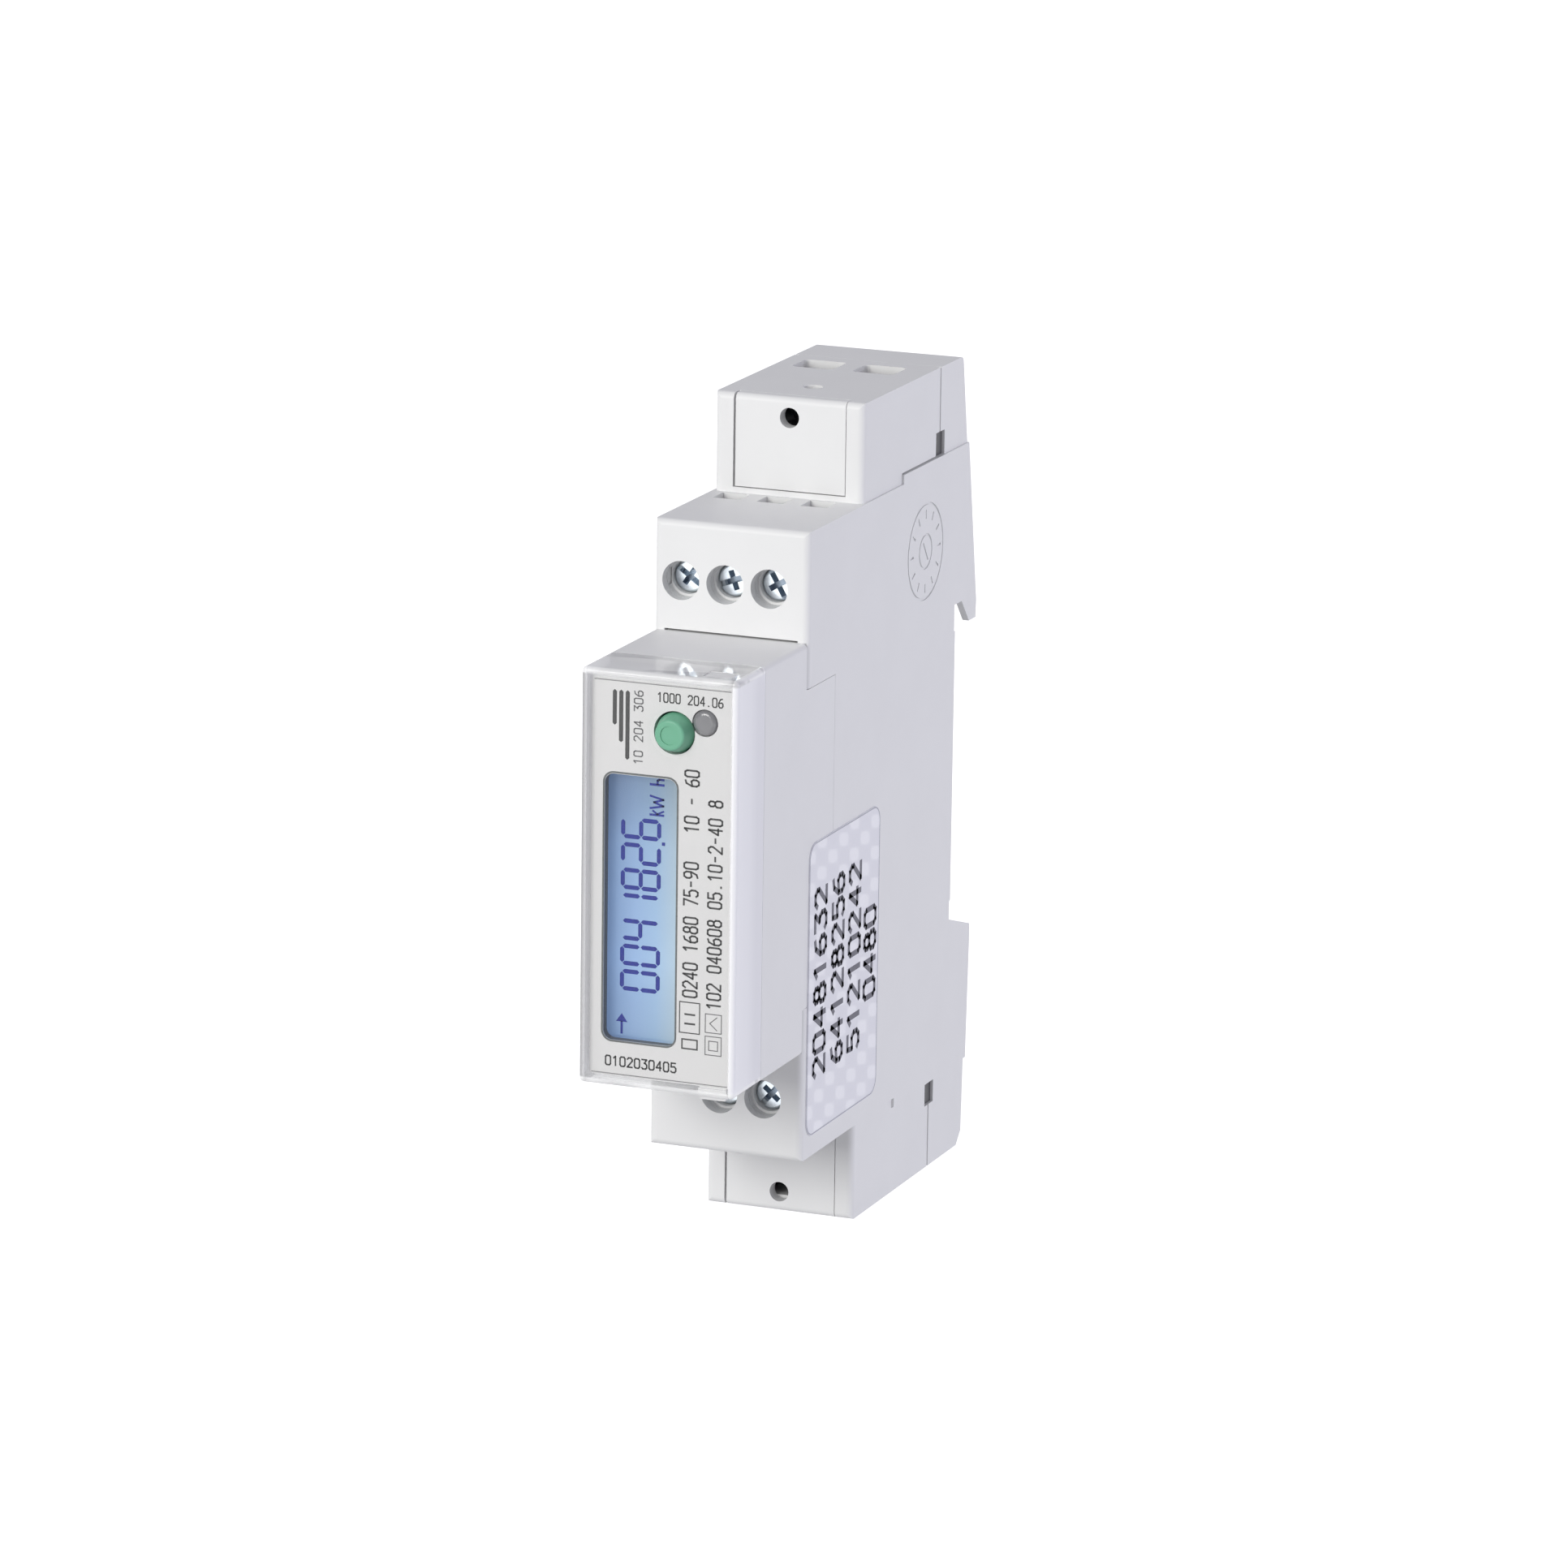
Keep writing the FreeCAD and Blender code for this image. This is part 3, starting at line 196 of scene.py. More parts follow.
def screw_material(name):
    """Zinc plating, with painted shade darkening the drive recesses of the signal screws."""
    recess_r, head_front_y, head_back_y = 1.45, -41.34, -39.9
    p = metal(name, (0.74, 0.80, 0.88), 0.2, spread=0.22)
    x, y, z = p.axis("X"), p.axis("Y"), p.axis("Z")
    across = p.math("PINGPONG", p.math("SUBTRACT", x, SIGNAL_X), SIGNAL_HALF_PITCH)
    up = p.math("SUBTRACT", p.math("ABSOLUTE", z), SIGNAL_Z)
    from_axis = p.math("SQRT", p.math("ADD", p.math("POWER", across, 2.0), p.math("MULTIPLY", up, up)))
    inside = p.math("MULTIPLY", p.math("SUBTRACT", recess_r, from_axis), 8.0, clamp=True)
    sunk = p.math("MULTIPLY", p.math("SUBTRACT", y, head_front_y), 4.0, clamp=True)
    front = p.math("LESS_THAN", y, head_back_y)
    # painted shade: the sunk drive recesses of the signal screws are coloured darker for the shade inside
    # them
    recess_shade = p.math("MULTIPLY", p.math("MULTIPLY", inside, sunk), front)
    plating = p.bsdf.inputs["Base Color"].links[0].from_socket
    p.colour(p.mix(recess_shade, plating, (0.26, 0.31, 0.37)))
    return p


# ---------------------------------------------------------------- the materials
def case_material(name, colour):
    return plastic(name, colour, 0.46, Specular_IOR_Level=0.35)


def bezel_material(name):
    """White carrier whose window walls are painted near black, as painted shade on the walls round the
    display.
    """
    p = plastic(name, (0.80, 0.80, 0.80), 0.5)
    x, z = p.axis("X"), p.axis("Z")
    margin_x, margin_z = 0.2, 0.15
    half_x = (WINDOW_X[1] - WINDOW_X[0]) / 2 + margin_x
    half_z = (WINDOW_Z[1] - WINDOW_Z[0]) / 2 + margin_z
    off_x = p.math("SUBTRACT", p.math("ABSOLUTE", p.math("SUBTRACT", x, sum(WINDOW_X) / 2)), half_x)
    off_z = p.math("SUBTRACT", p.math("ABSOLUTE", p.math("SUBTRACT", z, sum(WINDOW_Z) / 2)), half_z)
    # painted shade: inside this margin the window walls get a near-black colour for the shade that falls in
    # them
    painted_shade = p.math("LESS_THAN", p.math("MAXIMUM", off_x, off_z), 0.0)
    white = p.bsdf.inputs["Base Color"].links[0].from_socket
    p.colour(p.mix(painted_shade, white, (0.10, 0.105, 0.11)))
    return p


def board_material(name):
    """Green solder mask with copper tracks that show through as lighter lines."""
    p = Paint(name, Specular_IOR_Level=0.5)
    tracks = p.node("TexBrick")
    tracks.inputs["Scale"].default_value = 260.0
    tracks.inputs["Mortar Size"].default_value = 0.03
    tracks.inputs["Color1"].default_value = (0.012, 0.11, 0.05, 1)
    tracks.inputs["Color2"].default_value = (0.010, 0.09, 0.04, 1)
    tracks.inputs["Mortar"].default_value = (0.03, 0.20, 0.09, 1)
    swap = p.node("Mapping")
    swap.inputs["Rotation"].default_value = (math.pi / 2, 0, math.pi / 2)
    p.link(p.coords.outputs["Object"], swap.inputs["Vector"])
    p.link(swap.outputs["Vector"], tracks.inputs["Vector"])
    p.colour(tracks.outputs["Color"])
    p.roughness(p.span(p.noise(900.0), 0.25, 0.4))
    p.bump(tracks.outputs["Fac"], 0.2, 0.00004)
    return p


def display_material(name):
    """The lit liquid-crystal panel: steel blue at the left and top, paler towards its right edge."""
    p = Paint(name, Roughness=0.3, Specular_IOR_Level=0.35, Emission_Strength=0.5)
    x, z = p.axis("X"), p.axis("Z")
    width = WINDOW_X[1] - WINDOW_X[0]
    height = WINDOW_Z[1] - WINDOW_Z[0]
    across = p.math("DIVIDE", p.math("SUBTRACT", x, WINDOW_X[0]), width, clamp=True)
    tone = p.ramp(
        across,
        (0.0, (0.21, 0.34, 0.60)),
        (0.35, (0.33, 0.50, 0.79)),
        (0.65, (0.39, 0.58, 0.83)),
        (0.95, (0.52, 0.67, 0.79)),
    )
    up = p.math("DIVIDE", p.math("SUBTRACT", z, WINDOW_Z[0]), height, clamp=True)
    fall = p.ramp(up, (0.0, (0.93,) * 3), (0.3, (1.14,) * 3), (0.72, (1.0,) * 3), (1.0, (0.62,) * 3))
    tone = p.mix(1.0, tone, fall, "MULTIPLY")
    cloud = p.ramp(p.noise(240.0, 2.0), (0.3, (0.97,) * 3), (0.7, (1.0,) * 3))
    tone = p.mix(1.0, tone, cloud, "MULTIPLY")
    p.colour(p.mix(1.0, tone, (0.34, 0.34, 0.34), "MULTIPLY"))
    p.link(tone, p.bsdf.inputs["Emission Color"])
    return p


def clear_material(name):
    """Clear moulding. Its thick rim is painted as a band of light and shade: painted shade grey at the left
    of the front, pale painted light elsewhere, darker towards the back and mottled along the top and bottom.
    """
    p = Paint(name, Roughness=0.06, Specular_IOR_Level=0.6, IOR=1.49)
    x, y, z = p.axis("X"), p.axis("Y"), p.axis("Z")
    out_x = p.math("SUBTRACT", p.math("ABSOLUTE", x), RIM_X)
    out_z = p.math("SUBTRACT", p.math("ABSOLUTE", z), RIM_Z)
    rim_x = p.math("MULTIPLY", out_x, 5.0, clamp=True)
    rim_z = p.math("MULTIPLY", out_z, 5.0, clamp=True)
    rim = p.math("MAXIMUM", rim_x, rim_z)
    across = p.math("DIVIDE", p.math("ADD", x, COVER_HALF_X), 2 * COVER_HALF_X, clamp=True)
    # painted shade and light: the rim grey at the left of the front, pale lavender-white towards the right
    # and behind the front
    rim_side_shade = p.ramp(
        across,
        (0.0, (0.34, 0.34, 0.35)),
        (0.015, (0.44, 0.44, 0.45)),
        (0.045, (0.80, 0.80, 0.81)),
        (0.95, (0.97, 0.97, 1.0)),
    )
    behind_front = p.math("MULTIPLY", p.math("ADD", y, 62.7), 4.0, clamp=True)
    rim_side_shade = p.mix(behind_front, rim_side_shade, (0.97, 0.97, 1.0))
    # painted shade: the rim darker towards the back
    back = p.math("DIVIDE", p.math("ADD", y, 64.0), 7.0, clamp=True)
    rim_shade_to_back = p.ramp(back, (0.0, (1.0, 1.0, 1.0)), (0.6, (0.95, 0.95, 0.96)), (0.9, (0.86, 0.86, 0.88)))
    rim_side_shade = p.mix(1.0, rim_side_shade, rim_shade_to_back, "MULTIPLY")
    # painted shade and highlight: mottled grey and white along the top and bottom rim
    level = p.noise(300.0, 1.0, (0.35, 1.2, 1.2), 0.4)
    ends = p.ramp(level, (0.36, (0.70, 0.70, 0.71)), (0.46, (1.0, 1.0, 1.0)))
    painted_rim = p.mix(rim_z, rim_side_shade, ends)
    p.colour(p.mix(rim, (0.96, 0.97, 0.99), painted_rim))
    right = p.math("GREATER_THAN", x, 0.0)
    veil_x = p.math("MULTIPLY", rim_x, p.span(right, 0.74, 0.88))
    veil = p.math("MAXIMUM", veil_x, p.math("MULTIPLY", rim_z, 0.55))
    p.link(p.math("ADD", veil, 0.02), p.bsdf.inputs["Alpha"])
    return p


def sticker_material(name):
    """Tamper film: staggered pale scales on lavender, with a faint sheen."""
    p = Paint(name, Specular_IOR_Level=0.5, Coat_Weight=0.2, Coat_Roughness=0.25)
    y, z = p.axis("Y"), p.axis("Z")
    wave_y = p.math("SINE", p.math("MULTIPLY", y, math.pi / SCALE_Y))
    slope_z = p.math("ADD", z, p.math("MULTIPLY", y, 0.2))
    wave_z = p.math("SINE", p.math("MULTIPLY", slope_z, math.pi / SCALE_Z))
    scales = p.math("ADD", p.math("MULTIPLY", p.math("MULTIPLY", wave_y, wave_z), 0.5), 0.5)
    tone = p.ramp(scales, (0.5, (0.76, 0.76, 0.82)), (0.72, (0.86, 0.86, 0.91)))
    tone = p.mix(0.06, tone, p.noise(2600.0, 2.0), "MULTIPLY")
    p.colour(tone)
    p.roughness(p.span(scales, 0.42, 0.28))
    return p


def button_material(name):
    """Soft green plastic that lets a little light through."""
    p = plastic(name, (0.165, 0.44, 0.29), 0.4, Specular_IOR_Level=0.4, Subsurface_Weight=0.08)
    p.bsdf.inputs["Subsurface Radius"].default_value = (0.0004, 0.0008, 0.0006)
    return p


def ink(name, colour, rough=0.5):
    """Printed ink: dense, with slight mottling where the screen let less through."""
    p = Paint(name)
    p.colour(p.ramp(p.noise(5200.0, 2.0), (0.3, shade(colour, 0.85)), (0.7, shade(colour, 1.2))))
    p.roughness(p.span(p.noise(3000.0), rough - 0.06, rough + 0.06))
    return p


def make_materials():
    """One material for each slot of the record, given to every CAD node that uses it."""
    white = (0.80, 0.80, 0.80)
    paints = {
        "case_plastic": case_material("case_plastic", white),
        "bezel_plastic": bezel_material("bezel_plastic"),
        "label_film": plastic("label_film", (0.71, 0.705, 0.70), 0.42, grain=5200.0, bump=0.03),
        "clear_plastic": clear_material("clear_plastic"),
        "display_glass": display_material("display_glass"),
        "backlight_panel": plastic("backlight_panel", (0.45, 0.68, 0.9), 0.4),
        "insert_plastic": plastic("insert_plastic", (0.06, 0.06, 0.065), 0.45),
        "terminal_plastic": plastic("terminal_plastic", (0.74, 0.74, 0.74), 0.45),
        "screw_zinc": screw_material("screw_zinc"),
        "cage_steel": metal("cage_steel", (0.58, 0.58, 0.60), 0.34, (0.2, 4, 1)),
        "copper": metal("copper", (0.72, 0.36, 0.20), 0.3, (4, 1, 0.15)),
        "resistive_alloy": metal("resistive_alloy", (0.36, 0.33, 0.31), 0.4, (4, 1, 0.15)),
        "board_laminate": board_material("board_laminate"),
        "chip_epoxy": plastic("chip_epoxy", (0.018, 0.018, 0.02), 0.5, grain=14000.0, bump=0.2),
        "film_box": plastic("film_box", (0.55, 0.38, 0.05), 0.35),
        "can_sleeve": plastic("can_sleeve", (0.02, 0.03, 0.09), 0.25),
        "disc_coating": plastic("disc_coating", (0.02, 0.07, 0.32), 0.3, grain=3000.0, bump=0.3),
        "resistor_body": plastic("resistor_body", (0.10, 0.26, 0.22), 0.45, grain=4000.0, bump=0.3),
        "ferrite": plastic("ferrite", (0.03, 0.03, 0.033), 0.55, grain=5000.0, bump=0.4),
        "wire_red": plastic("wire_red", (0.38, 0.015, 0.012), 0.4),
        "button_green": button_material("button_green"),
        "lamp_smoked": plastic("lamp_smoked", (0.19, 0.19, 0.2), 0.15, spread=0.12, Coat_Weight=0.6),
        "sticker_film": sticker_material("sticker_film"),
        "spring_steel": metal("spring_steel", (0.5, 0.5, 0.52), 0.25),
        "clip_plastic": plastic("clip_plastic", (0.74, 0.74, 0.76), 0.45),
    }
    for part in frame["record"]["subparts"]:
        obj = nodes[part["node"]]
        obj.data.materials.clear()
        obj.data.materials.append(paints[part["material_slot"]].mat)


# ---------------------------------------------------------------- flat printed pieces
def flat_piece(name, outlines, place, thickness, paint):
    """Thin solid marks from closed 2-D outlines, in millimetres. place turns (u, v, height) into a point."""
    mesh = bpy.data.meshes.new(name)
    bm = bmesh.new()
    for outline in outlines:
        low = [bm.verts.new(place(u, v, 0.0)) for u, v in outline]
        high = [bm.verts.new(place(u, v, thickness)) for u, v in outline]
        bm.faces.new(low[::-1])
        bm.faces.new(high)
        for i in range(len(low)):
            j = (i + 1) % len(low)
            bm.faces.new((low[i], low[j], high[j], high[i]))
    bmesh.ops.recalc_face_normals(bm, faces=bm.faces[:])
    bm.to_mesh(mesh)
    bm.free()
    obj = bpy.data.objects.new(name, mesh)
    bpy.context.scene.collection.objects.link(obj)
    mesh.materials.append(paint.mat)
    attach(obj, "housing")
    return obj


def on_label(u, v, h):
    """Printed on the label: u up the label, v to the left, as the text reads from bottom to top."""
    return Vector((-v, LABEL_Y - MARK_GAP - h, u)) * MM


def on_label_flat(u, v, h):
    """Printed on the label the usual way up."""
    return Vector((u, LABEL_Y - MARK_GAP - h, v)) * MM


def on_lcd(u, v, h):
    """On the display glass, turned as on the label."""
    return Vector((-v, LCD_Y - MARK_GAP - h, u)) * MM


def on_sticker(u, v, h):
    """Printed on the sticker: u up, v towards the front."""
    return Vector((STICKER_X + MARK_GAP + h, -v, u)) * MM


def stroke(a, b, width, cut=0.0):
    """A straight bar from a to b, with ends tapered by cut."""
    ax, ay = a
    bx, by = b
    length = math.hypot(bx - ax, by - ay)
    dx, dy = (bx - ax) / length, (by - ay) / length
    nx, ny = -dy * width / 2, dx * width / 2
    if cut <= 0:
        return [(ax - nx, ay - ny), (bx - nx, by - ny), (bx + nx, by + ny), (ax + nx, ay + ny)]
    cx, cy = dx * cut, dy * cut
    return [
        (ax, ay),
        (ax + cx - nx, ay + cy - ny),
        (bx - cx - nx, by - cy - ny),
        (bx, by),
        (bx - cx + nx, by - cy + ny),
        (ax + cx + nx, ay + cy + ny),
    ]


SEGMENTS = {
    "0": "abcdef", "1": "bc", "2": "abged", "3": "abgcd", "4": "fgbc",
    "5": "afgcd", "6": "afgedc", "7": "abc", "8": "abcdefg", "9": "abcdfg",
}


def seven_segment(digit, u0, v0, wide, high, width):
    """One seven-segment digit whose lower left corner is at (u0, v0)."""
    gap = 0.06
    mid = high / 2
    ends = {
        "a": ((gap, high), (wide - gap, high)),
        "g": ((gap, mid), (wide - gap, mid)),
        "d": ((gap, 0), (wide - gap, 0)),
        "b": ((wide, mid + gap), (wide, high - gap)),
        "c": ((wide, gap), (wide, mid - gap)),
        "f": ((0, mid + gap), (0, high - gap)),
        "e": ((0, gap), (0, mid - gap)),
    }
    bars = []
    for key in SEGMENTS[digit]:
        (ax, ay), (bx, by) = ends[key]
        bars.append(stroke((u0 + ax, v0 + ay), (u0 + bx, v0 + by), width, width / 2))
    return bars


# numerals for small print, drawn on a grid 2 wide and 4 high
NUMERALS = {
    "0": [[(0.4, 0), (1.6, 0), (2, 0.6), (2, 3.4), (1.6, 4), (0.4, 4), (0, 3.4), (0, 0.6), (0.4, 0)]],
    "1": [[(0.3, 3.2), (1.1, 4), (1.1, 0)]],
    "2": [[(0, 3.3), (0.5, 4), (1.5, 4), (2, 3.3), (2, 2.7), (0, 0), (2, 0)]],
    "3": [[(0, 4), (2, 4), (1, 2.4), (1.6, 2.3), (2, 1.6), (2, 0.6), (1.5, 0), (0.4, 0), (0, 0.5)]],
    "4": [[(1.5, 0), (1.5, 4), (0, 1.2), (2, 1.2)]],
    "5": [[(1.9, 4), (0.2, 4), (0.1, 2.3), (1.4, 2.5), (2, 1.8), (2, 0.7), (1.5, 0), (0.5, 0), (0, 0.5)]],
    "6": [
        [(1.8, 3.9), (0.8, 3.6), (0, 2), (0, 0.7), (0.5, 0)]
        + [(1.5, 0), (2, 0.7), (2, 1.6), (1.5, 2.2), (0.1, 1.9)],
    ],
    "7": [[(0, 4), (2, 4), (0.8, 0)]],
    "8": [
        [(0.5, 2.2), (0, 1.6), (0, 0.6), (0.5, 0), (1.5, 0), (2, 0.6), (2, 1.6), (1.5, 2.2), (0.5, 2.2)],
        [(0.5, 2.2), (0.2, 2.8), (0.2, 3.5), (0.6, 4), (1.4, 4), (1.8, 3.5), (1.8, 2.8), (1.5, 2.2)],
    ],
    "9": [
        [(0.2, 0.1), (1.2, 0.4), (2, 2), (2, 3.3), (1.5, 4)]
        + [(0.5, 4), (0, 3.3), (0, 2.4), (0.5, 1.8), (1.9, 2.1)],
    ],
    "-": [[(0.3, 2), (1.7, 2)]],
    ".": [[(0.8, 0.15), (1.2, 0.15)]],
}


def polyline(points, width):
    """A drawn line as overlapping bars."""
    bars = []
    for (ax, ay), (bx, by) in zip(points, points[1:]):
        length = math.hypot(bx - ax, by - ay)
        ex, ey = (bx - ax) / length * width * 0.3, (by - ay) / length * width * 0.3
        bars.append(stroke((ax - ex, ay - ey), (bx + ex, by + ey), width))
    return bars


def numerals(text, u0, v0, pitch, high, width):
    """A row of numerals from (u0, v0); a space leaves a gap."""
    bars = []
    k = high / 4
    wide = min(pitch * 0.68, high * 0.62)
    for i, character in enumerate(text):
        for line in NUMERALS.get(character, []):
            points = [(u0 + i * pitch + x * wide / 2, v0 + y * k) for x, y in line]
            bars += polyline(points, width)
    return bars


def frame_box(u, v, width):
    """A rectangular outline from four bars."""
    (u0, u1), (v0, v1) = u, v
    w = width / 2
    return [
        stroke((u0 - w, v0), (u1 + w, v0), width),
        stroke((u0 - w, v1), (u1 + w, v1), width),
        stroke((u0, v0 + w), (u0, v1 - w), width),
        stroke((u1, v0 + w), (u1, v1 - w), width),
    ]


def make_display_marks():
    """A seven-digit reading, its unit and a running arrow, all reading from bottom to top."""
    blue = ink("lcd_segments", (0.004, 0.016, 0.24), 0.6)
    bars = []
    pitch, wide, high, line = 2.73, 1.85, 4.05, 0.46
    first_u, foot_v = -12.35, 0.97
    for i, digit in enumerate("0041826"):
        bars += seven_segment(digit, first_u + i * pitch, foot_v, wide, high, line)
    point_u = first_u + 6 * pitch - 0.62
    bars.append(stroke((point_u, foot_v - 0.5), (point_u + 0.36, foot_v - 0.5), 0.36))
    flat_piece("lcd_reading", bars, on_lcd, 0.02, blue)
    low, middle, top = 0.5, 1.2, 2.0
    unit = polyline([(6.62, low), (6.62, top)], 0.24)
    unit += polyline([(7.05, middle + 0.5), (6.72, middle), (7.05, low)], 0.2)
    crest = [(7.3, top), (7.62, low), (7.96, top - 0.4), (8.3, low), (8.62, top)]
    unit += polyline(crest, 0.22)
    unit += polyline([(9.85, low), (9.85, top)], 0.26)
    unit += polyline([(9.9, middle), (10.3, middle), (10.42, middle - 0.2), (10.42, low)], 0.24)
    flat_piece("lcd_unit", unit, on_lcd, 0.02, blue)
    arrow = [
        stroke((-17.3, 5.0), (-15.9, 5.0), 0.26),
        [(-16.0, 4.35), (-15.1, 5.0), (-16.0, 5.65)],
    ]
    flat_piece("lcd_arrow", arrow, on_lcd, 0.02, blue)


def make_label_marks():
    """Print on the label: numerals, a bar mark, four boxed marks and two lines, with a dark ring round the
    window as painted shade of the window's walls.
    """
    black = ink("label_black", (0.035, 0.035, 0.035))
    grey = ink("label_grey", (0.13, 0.13, 0.135))
    edge = ink("label_edge", (0.22, 0.22, 0.225))
    mark = []
    for i, (low, high) in enumerate(((12.6, 20.0), (14.4, 20.0), (16.2, 20.0))):
        v = 3.95 + 0.72 * i
        mark.append(stroke((low, v), (high, v), 0.46, 0.2))
    flat_piece("label_mark", mark, on_label, 0.01, black)
    rows = [
        ("label_row_1", on_label, "10 204 306", 12.3, 2.25, 0.8, 0.95, 0.13, grey),
        ("label_row_2", on_label, "0240 1680 75-90   10 - 60", -12.0, -4.1, 0.98, 1.55, 0.2, black),
        ("label_row_3", on_label, "102 040608 05.10-2-40 8", -13.0, -6.75, 0.98, 1.5, 0.2, black),
        ("label_row_4", on_label_flat, "1000 204.06", -0.6, 19.15, 0.68, 0.95, 0.14, black),
        ("label_row_5", on_label_flat, "0102030405", -6.1, -20.35, 0.82, 1.0, 0.17, black),
    ]
    for name, place, text, u0, v0, pitch, high, width, paint in rows:
        flat_piece(name, numerals(text, u0, v0, pitch, high, width), place, 0.01, paint)
    boxes = frame_box((-15.9, -12.6), (-4.45, -2.2), 0.12)
    boxes += frame_box((-17.6, -16.6), (-4.2, -2.5), 0.16)
    boxes += polyline([(-14.9, -3.9), (-14.9, -2.8)], 0.2)
    boxes += polyline([(-13.9, -3.9), (-13.9, -2.8)], 0.2)
    flat_piece("label_boxes", boxes, on_label, 0.01, black)
    ruled = frame_box((-18.0, -16.0), (-6.9, -5.1), 0.1)
    ruled += frame_box((-17.5, -16.5), (-6.5, -5.5), 0.1)
    ruled += frame_box((-15.6, -13.6), (-6.9, -5.1), 0.1)
    ruled += polyline([(-15.3, -6.4), (-14.6, -5.6), (-13.9, -6.4)], 0.1)
    flat_piece("label_ruled", ruled, on_label, 0.01, grey)
    # painted shade: a dark ring round the display window, standing in for the shade on the window's walls
    painted_shade = rounded_ring((-6.65, 1.85), (-17.8, 11.25), 1.2, 0.2)
    shadow = ink("window_shade_ring", (0.11, 0.12, 0.12))
    flat_piece("window_shade_ring", painted_shade, on_label_flat, 0.01, shadow)
    trim = [
        stroke((-7.7, 20.9), (7.6, 20.9), 0.1),
        stroke((-7.7, -21.25), (7.6, -21.25), 0.1),
    ]
    flat_piece("label_trim", trim, on_label_flat, 0.01, edge)


def rounded_ring(u, v, radius, inner):
    """Outer and inner outlines of a rounded rectangle band, as quads."""
    def outline(shrink):
        r = radius - shrink
        points = []
        corners = ((u[1], v[1], 0), (u[0], v[1], 90), (u[0], v[0], 180), (u[1], v[0], 270))
        for cu, cv, start in corners:
            centre_u = cu - math.copysign(radius, cu - sum(u) / 2)
            centre_v = cv - math.copysign(radius, cv - sum(v) / 2)
            for i in range(9):
                angle = math.radians(start + i * 90 / 8)
                points.append((centre_u + r * math.cos(angle), centre_v + r * math.sin(angle)))
        return points
    outer, low = outline(0.0), outline(inner)
    count = len(outer)
    return [[outer[i], outer[(i + 1) % count], low[(i + 1) % count], low[i]] for i in range(count)]


def make_sticker_marks():
    """Four rows of bold numerals on the tamper film, and a thin dark ring round its edge as painted shadow
    of the film's edge.
    """
    dark = ink("sticker_ink", (0.05, 0.05, 0.085), 0.4)
    edge_shadow = ink("sticker_edge_shadow", (0.36, 0.36, 0.42), 0.4)
    rows = (
        ("20481632", -25.6, 37.9),
        ("64128256", -25.4, 32.8),
        ("51210242", -25.3, 27.9),
        ("0480", -20.6, 23.3),
    )
    for i, (text, u0, v0) in enumerate(rows):
        bars = numerals(text, u0, v0, 2.66, 3.2, 0.62)
        flat_piece(f"sticker_row_{i + 1}", bars, on_sticker, 0.01, dark)
    # painted shadow: a thin dark ring along the edge of the tamper film
    edge_shadow_ring = rounded_ring((-31.85, 0.25), (22.35, 42.85), 1.75, 0.14)
    flat_piece("sticker_edge_shadow_ring", edge_shadow_ring, on_sticker, 0.008, edge_shadow)


# ---------------------------------------------------------------- the clip's spring
def make_spring():
    """The coil between the clip and its seat in the case, copied from the CAD coil and carried by the clip.
    """
    coil = bpy.data.objects.new("clip_spring_coil", nodes["clip_spring"].data.copy())
    bpy.context.scene.collection.objects.link(coil)
    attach(coil, "rail_clip")
    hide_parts("clip_spring")
    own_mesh(coil)


# ---------------------------------------------------------------- stage
def make_floor():
    """A plain pale floor. It reads as studio white and adds no light to the meter from below."""
    mesh = bpy.data.meshes.new("floor")
    bm = bmesh.new()
    bmesh.ops.create_grid(bm, x_segments=8, y_segments=8, size=6.0)
    bm.to_mesh(mesh)
    bm.free()
    floor = bpy.data.objects.new("floor", mesh)
    floor.location.z = FLOOR_Z - 0.0001
    floor.visible_diffuse = False
    bpy.context.scene.collection.objects.link(floor)
    p = Paint("floor_pale", Roughness=0.9, Specular_IOR_Level=0.1, Emission_Strength=0.9)
    p.colour(p.ramp(p.noise(3.0, 2.0), (0.3, (0.55,) * 3), (0.7, (0.57,) * 3)))
    p.bsdf.inputs["Emission Color"].default_value = (1, 1, 1, 1)
    mesh.materials.append(p.mat)


def area_light(name, place, target, size, power, colour):
    data = bpy.data.lights.new(name, "AREA")
    data.shape = "RECTANGLE"
    data.size, data.size_y = size
    data.energy = power
    data.color = colour
    light = bpy.data.objects.new(name, data)
    light.location = place
    light.rotation_euler = (Vector(target) - Vector(place)).to_track_quat("-Z", "Y").to_euler()
    bpy.context.scene.collection.objects.link(light)


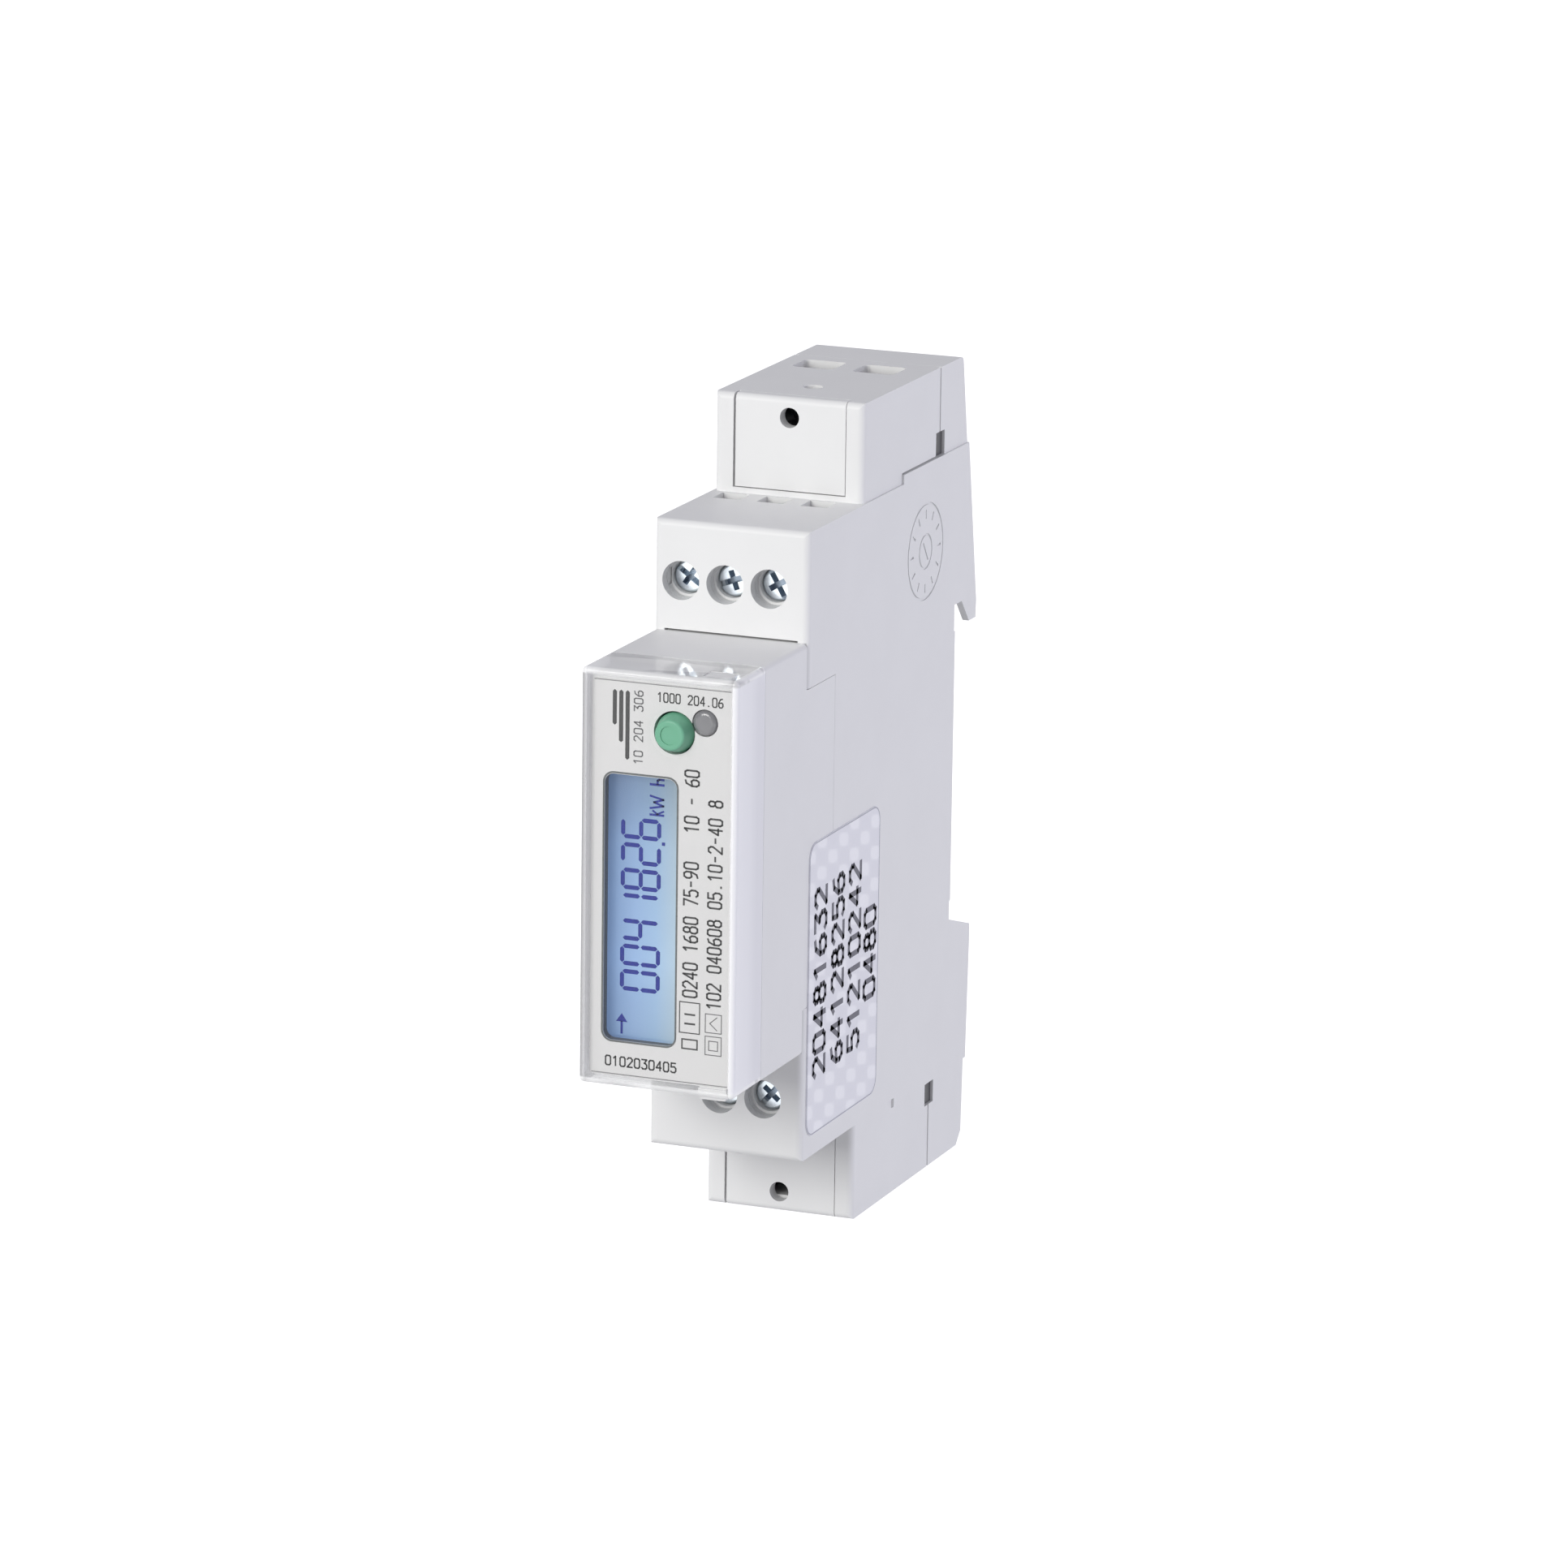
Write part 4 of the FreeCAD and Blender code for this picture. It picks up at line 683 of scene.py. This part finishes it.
def make_lights():
    """A faint sky, a key from the upper front and a cool fill from the right."""
    world = bpy.data.worlds.new("studio")
    bpy.context.scene.world = world
    world.use_nodes = True
    background = world.node_tree.nodes["Background"]
    tree = world.node_tree
    coords = tree.nodes.new("ShaderNodeTexCoord")
    split = tree.nodes.new("ShaderNodeSeparateXYZ")
    sky = tree.nodes.new("ShaderNodeValToRGB")
    low, high = sky.color_ramp.elements
    low.position, high.position = 0.0, 0.3
    low.color = (0.90, 0.90, 0.96, 1)
    high.color = (0.86, 0.86, 0.94, 1)
    tree.links.new(coords.outputs["Generated"], split.inputs[0])
    tree.links.new(split.outputs["Z"], sky.inputs["Fac"])
    tree.links.new(sky.outputs["Color"], background.inputs["Color"])
    background.inputs["Strength"].default_value = 0.5
    area_light("key", (-0.3, -1.1, 0.42), (0, -0.03, 0), (0.6, 0.6), 9.2, (1.0, 1.0, 0.96))
    area_light("fill", (1.8, 0.4, 0.1), (0, -0.03, 0), (1.2, 1.0), 18.0, (0.87, 0.87, 1.0))


def make_camera():
    """The photograph's viewpoint, found by fitting the object's corners."""
    azimuth, elevation, roll = (math.radians(a) for a in (21.5787, 13.7566, 0.771))
    distance, shift_x, shift_y = 0.9203496, -0.0104342, -0.0033643
    back = Vector((
        math.sin(azimuth) * math.cos(elevation),
        -math.cos(azimuth) * math.cos(elevation),
        math.sin(elevation),
    ))
    right = Vector((math.cos(azimuth), math.sin(azimuth), 0))
    up = back.cross(right)
    across = right * math.cos(roll) + up * math.sin(roll)
    upward = up * math.cos(roll) - right * math.sin(roll)
    place = across * shift_x + upward * shift_y + back * distance
    data = bpy.data.cameras.new("camera")
    data.sensor_width = 36.0
    data.lens = 191.35
    data.clip_start = 0.01
    data.clip_end = 50.0
    camera = bpy.data.objects.new("camera", data)
    turn = Matrix((across, upward, back)).transposed().to_4x4()
    camera.matrix_world = Matrix.Translation(place) @ turn
    bpy.context.scene.collection.objects.link(camera)
    bpy.context.scene.camera = camera


make_camera()
make_lights()
make_floor()
make_materials()
make_display_marks()
make_label_marks()
make_sticker_marks()
make_spring()
bpy.context.scene.view_settings.view_transform = "Standard"

bpy.context.view_layer.update()
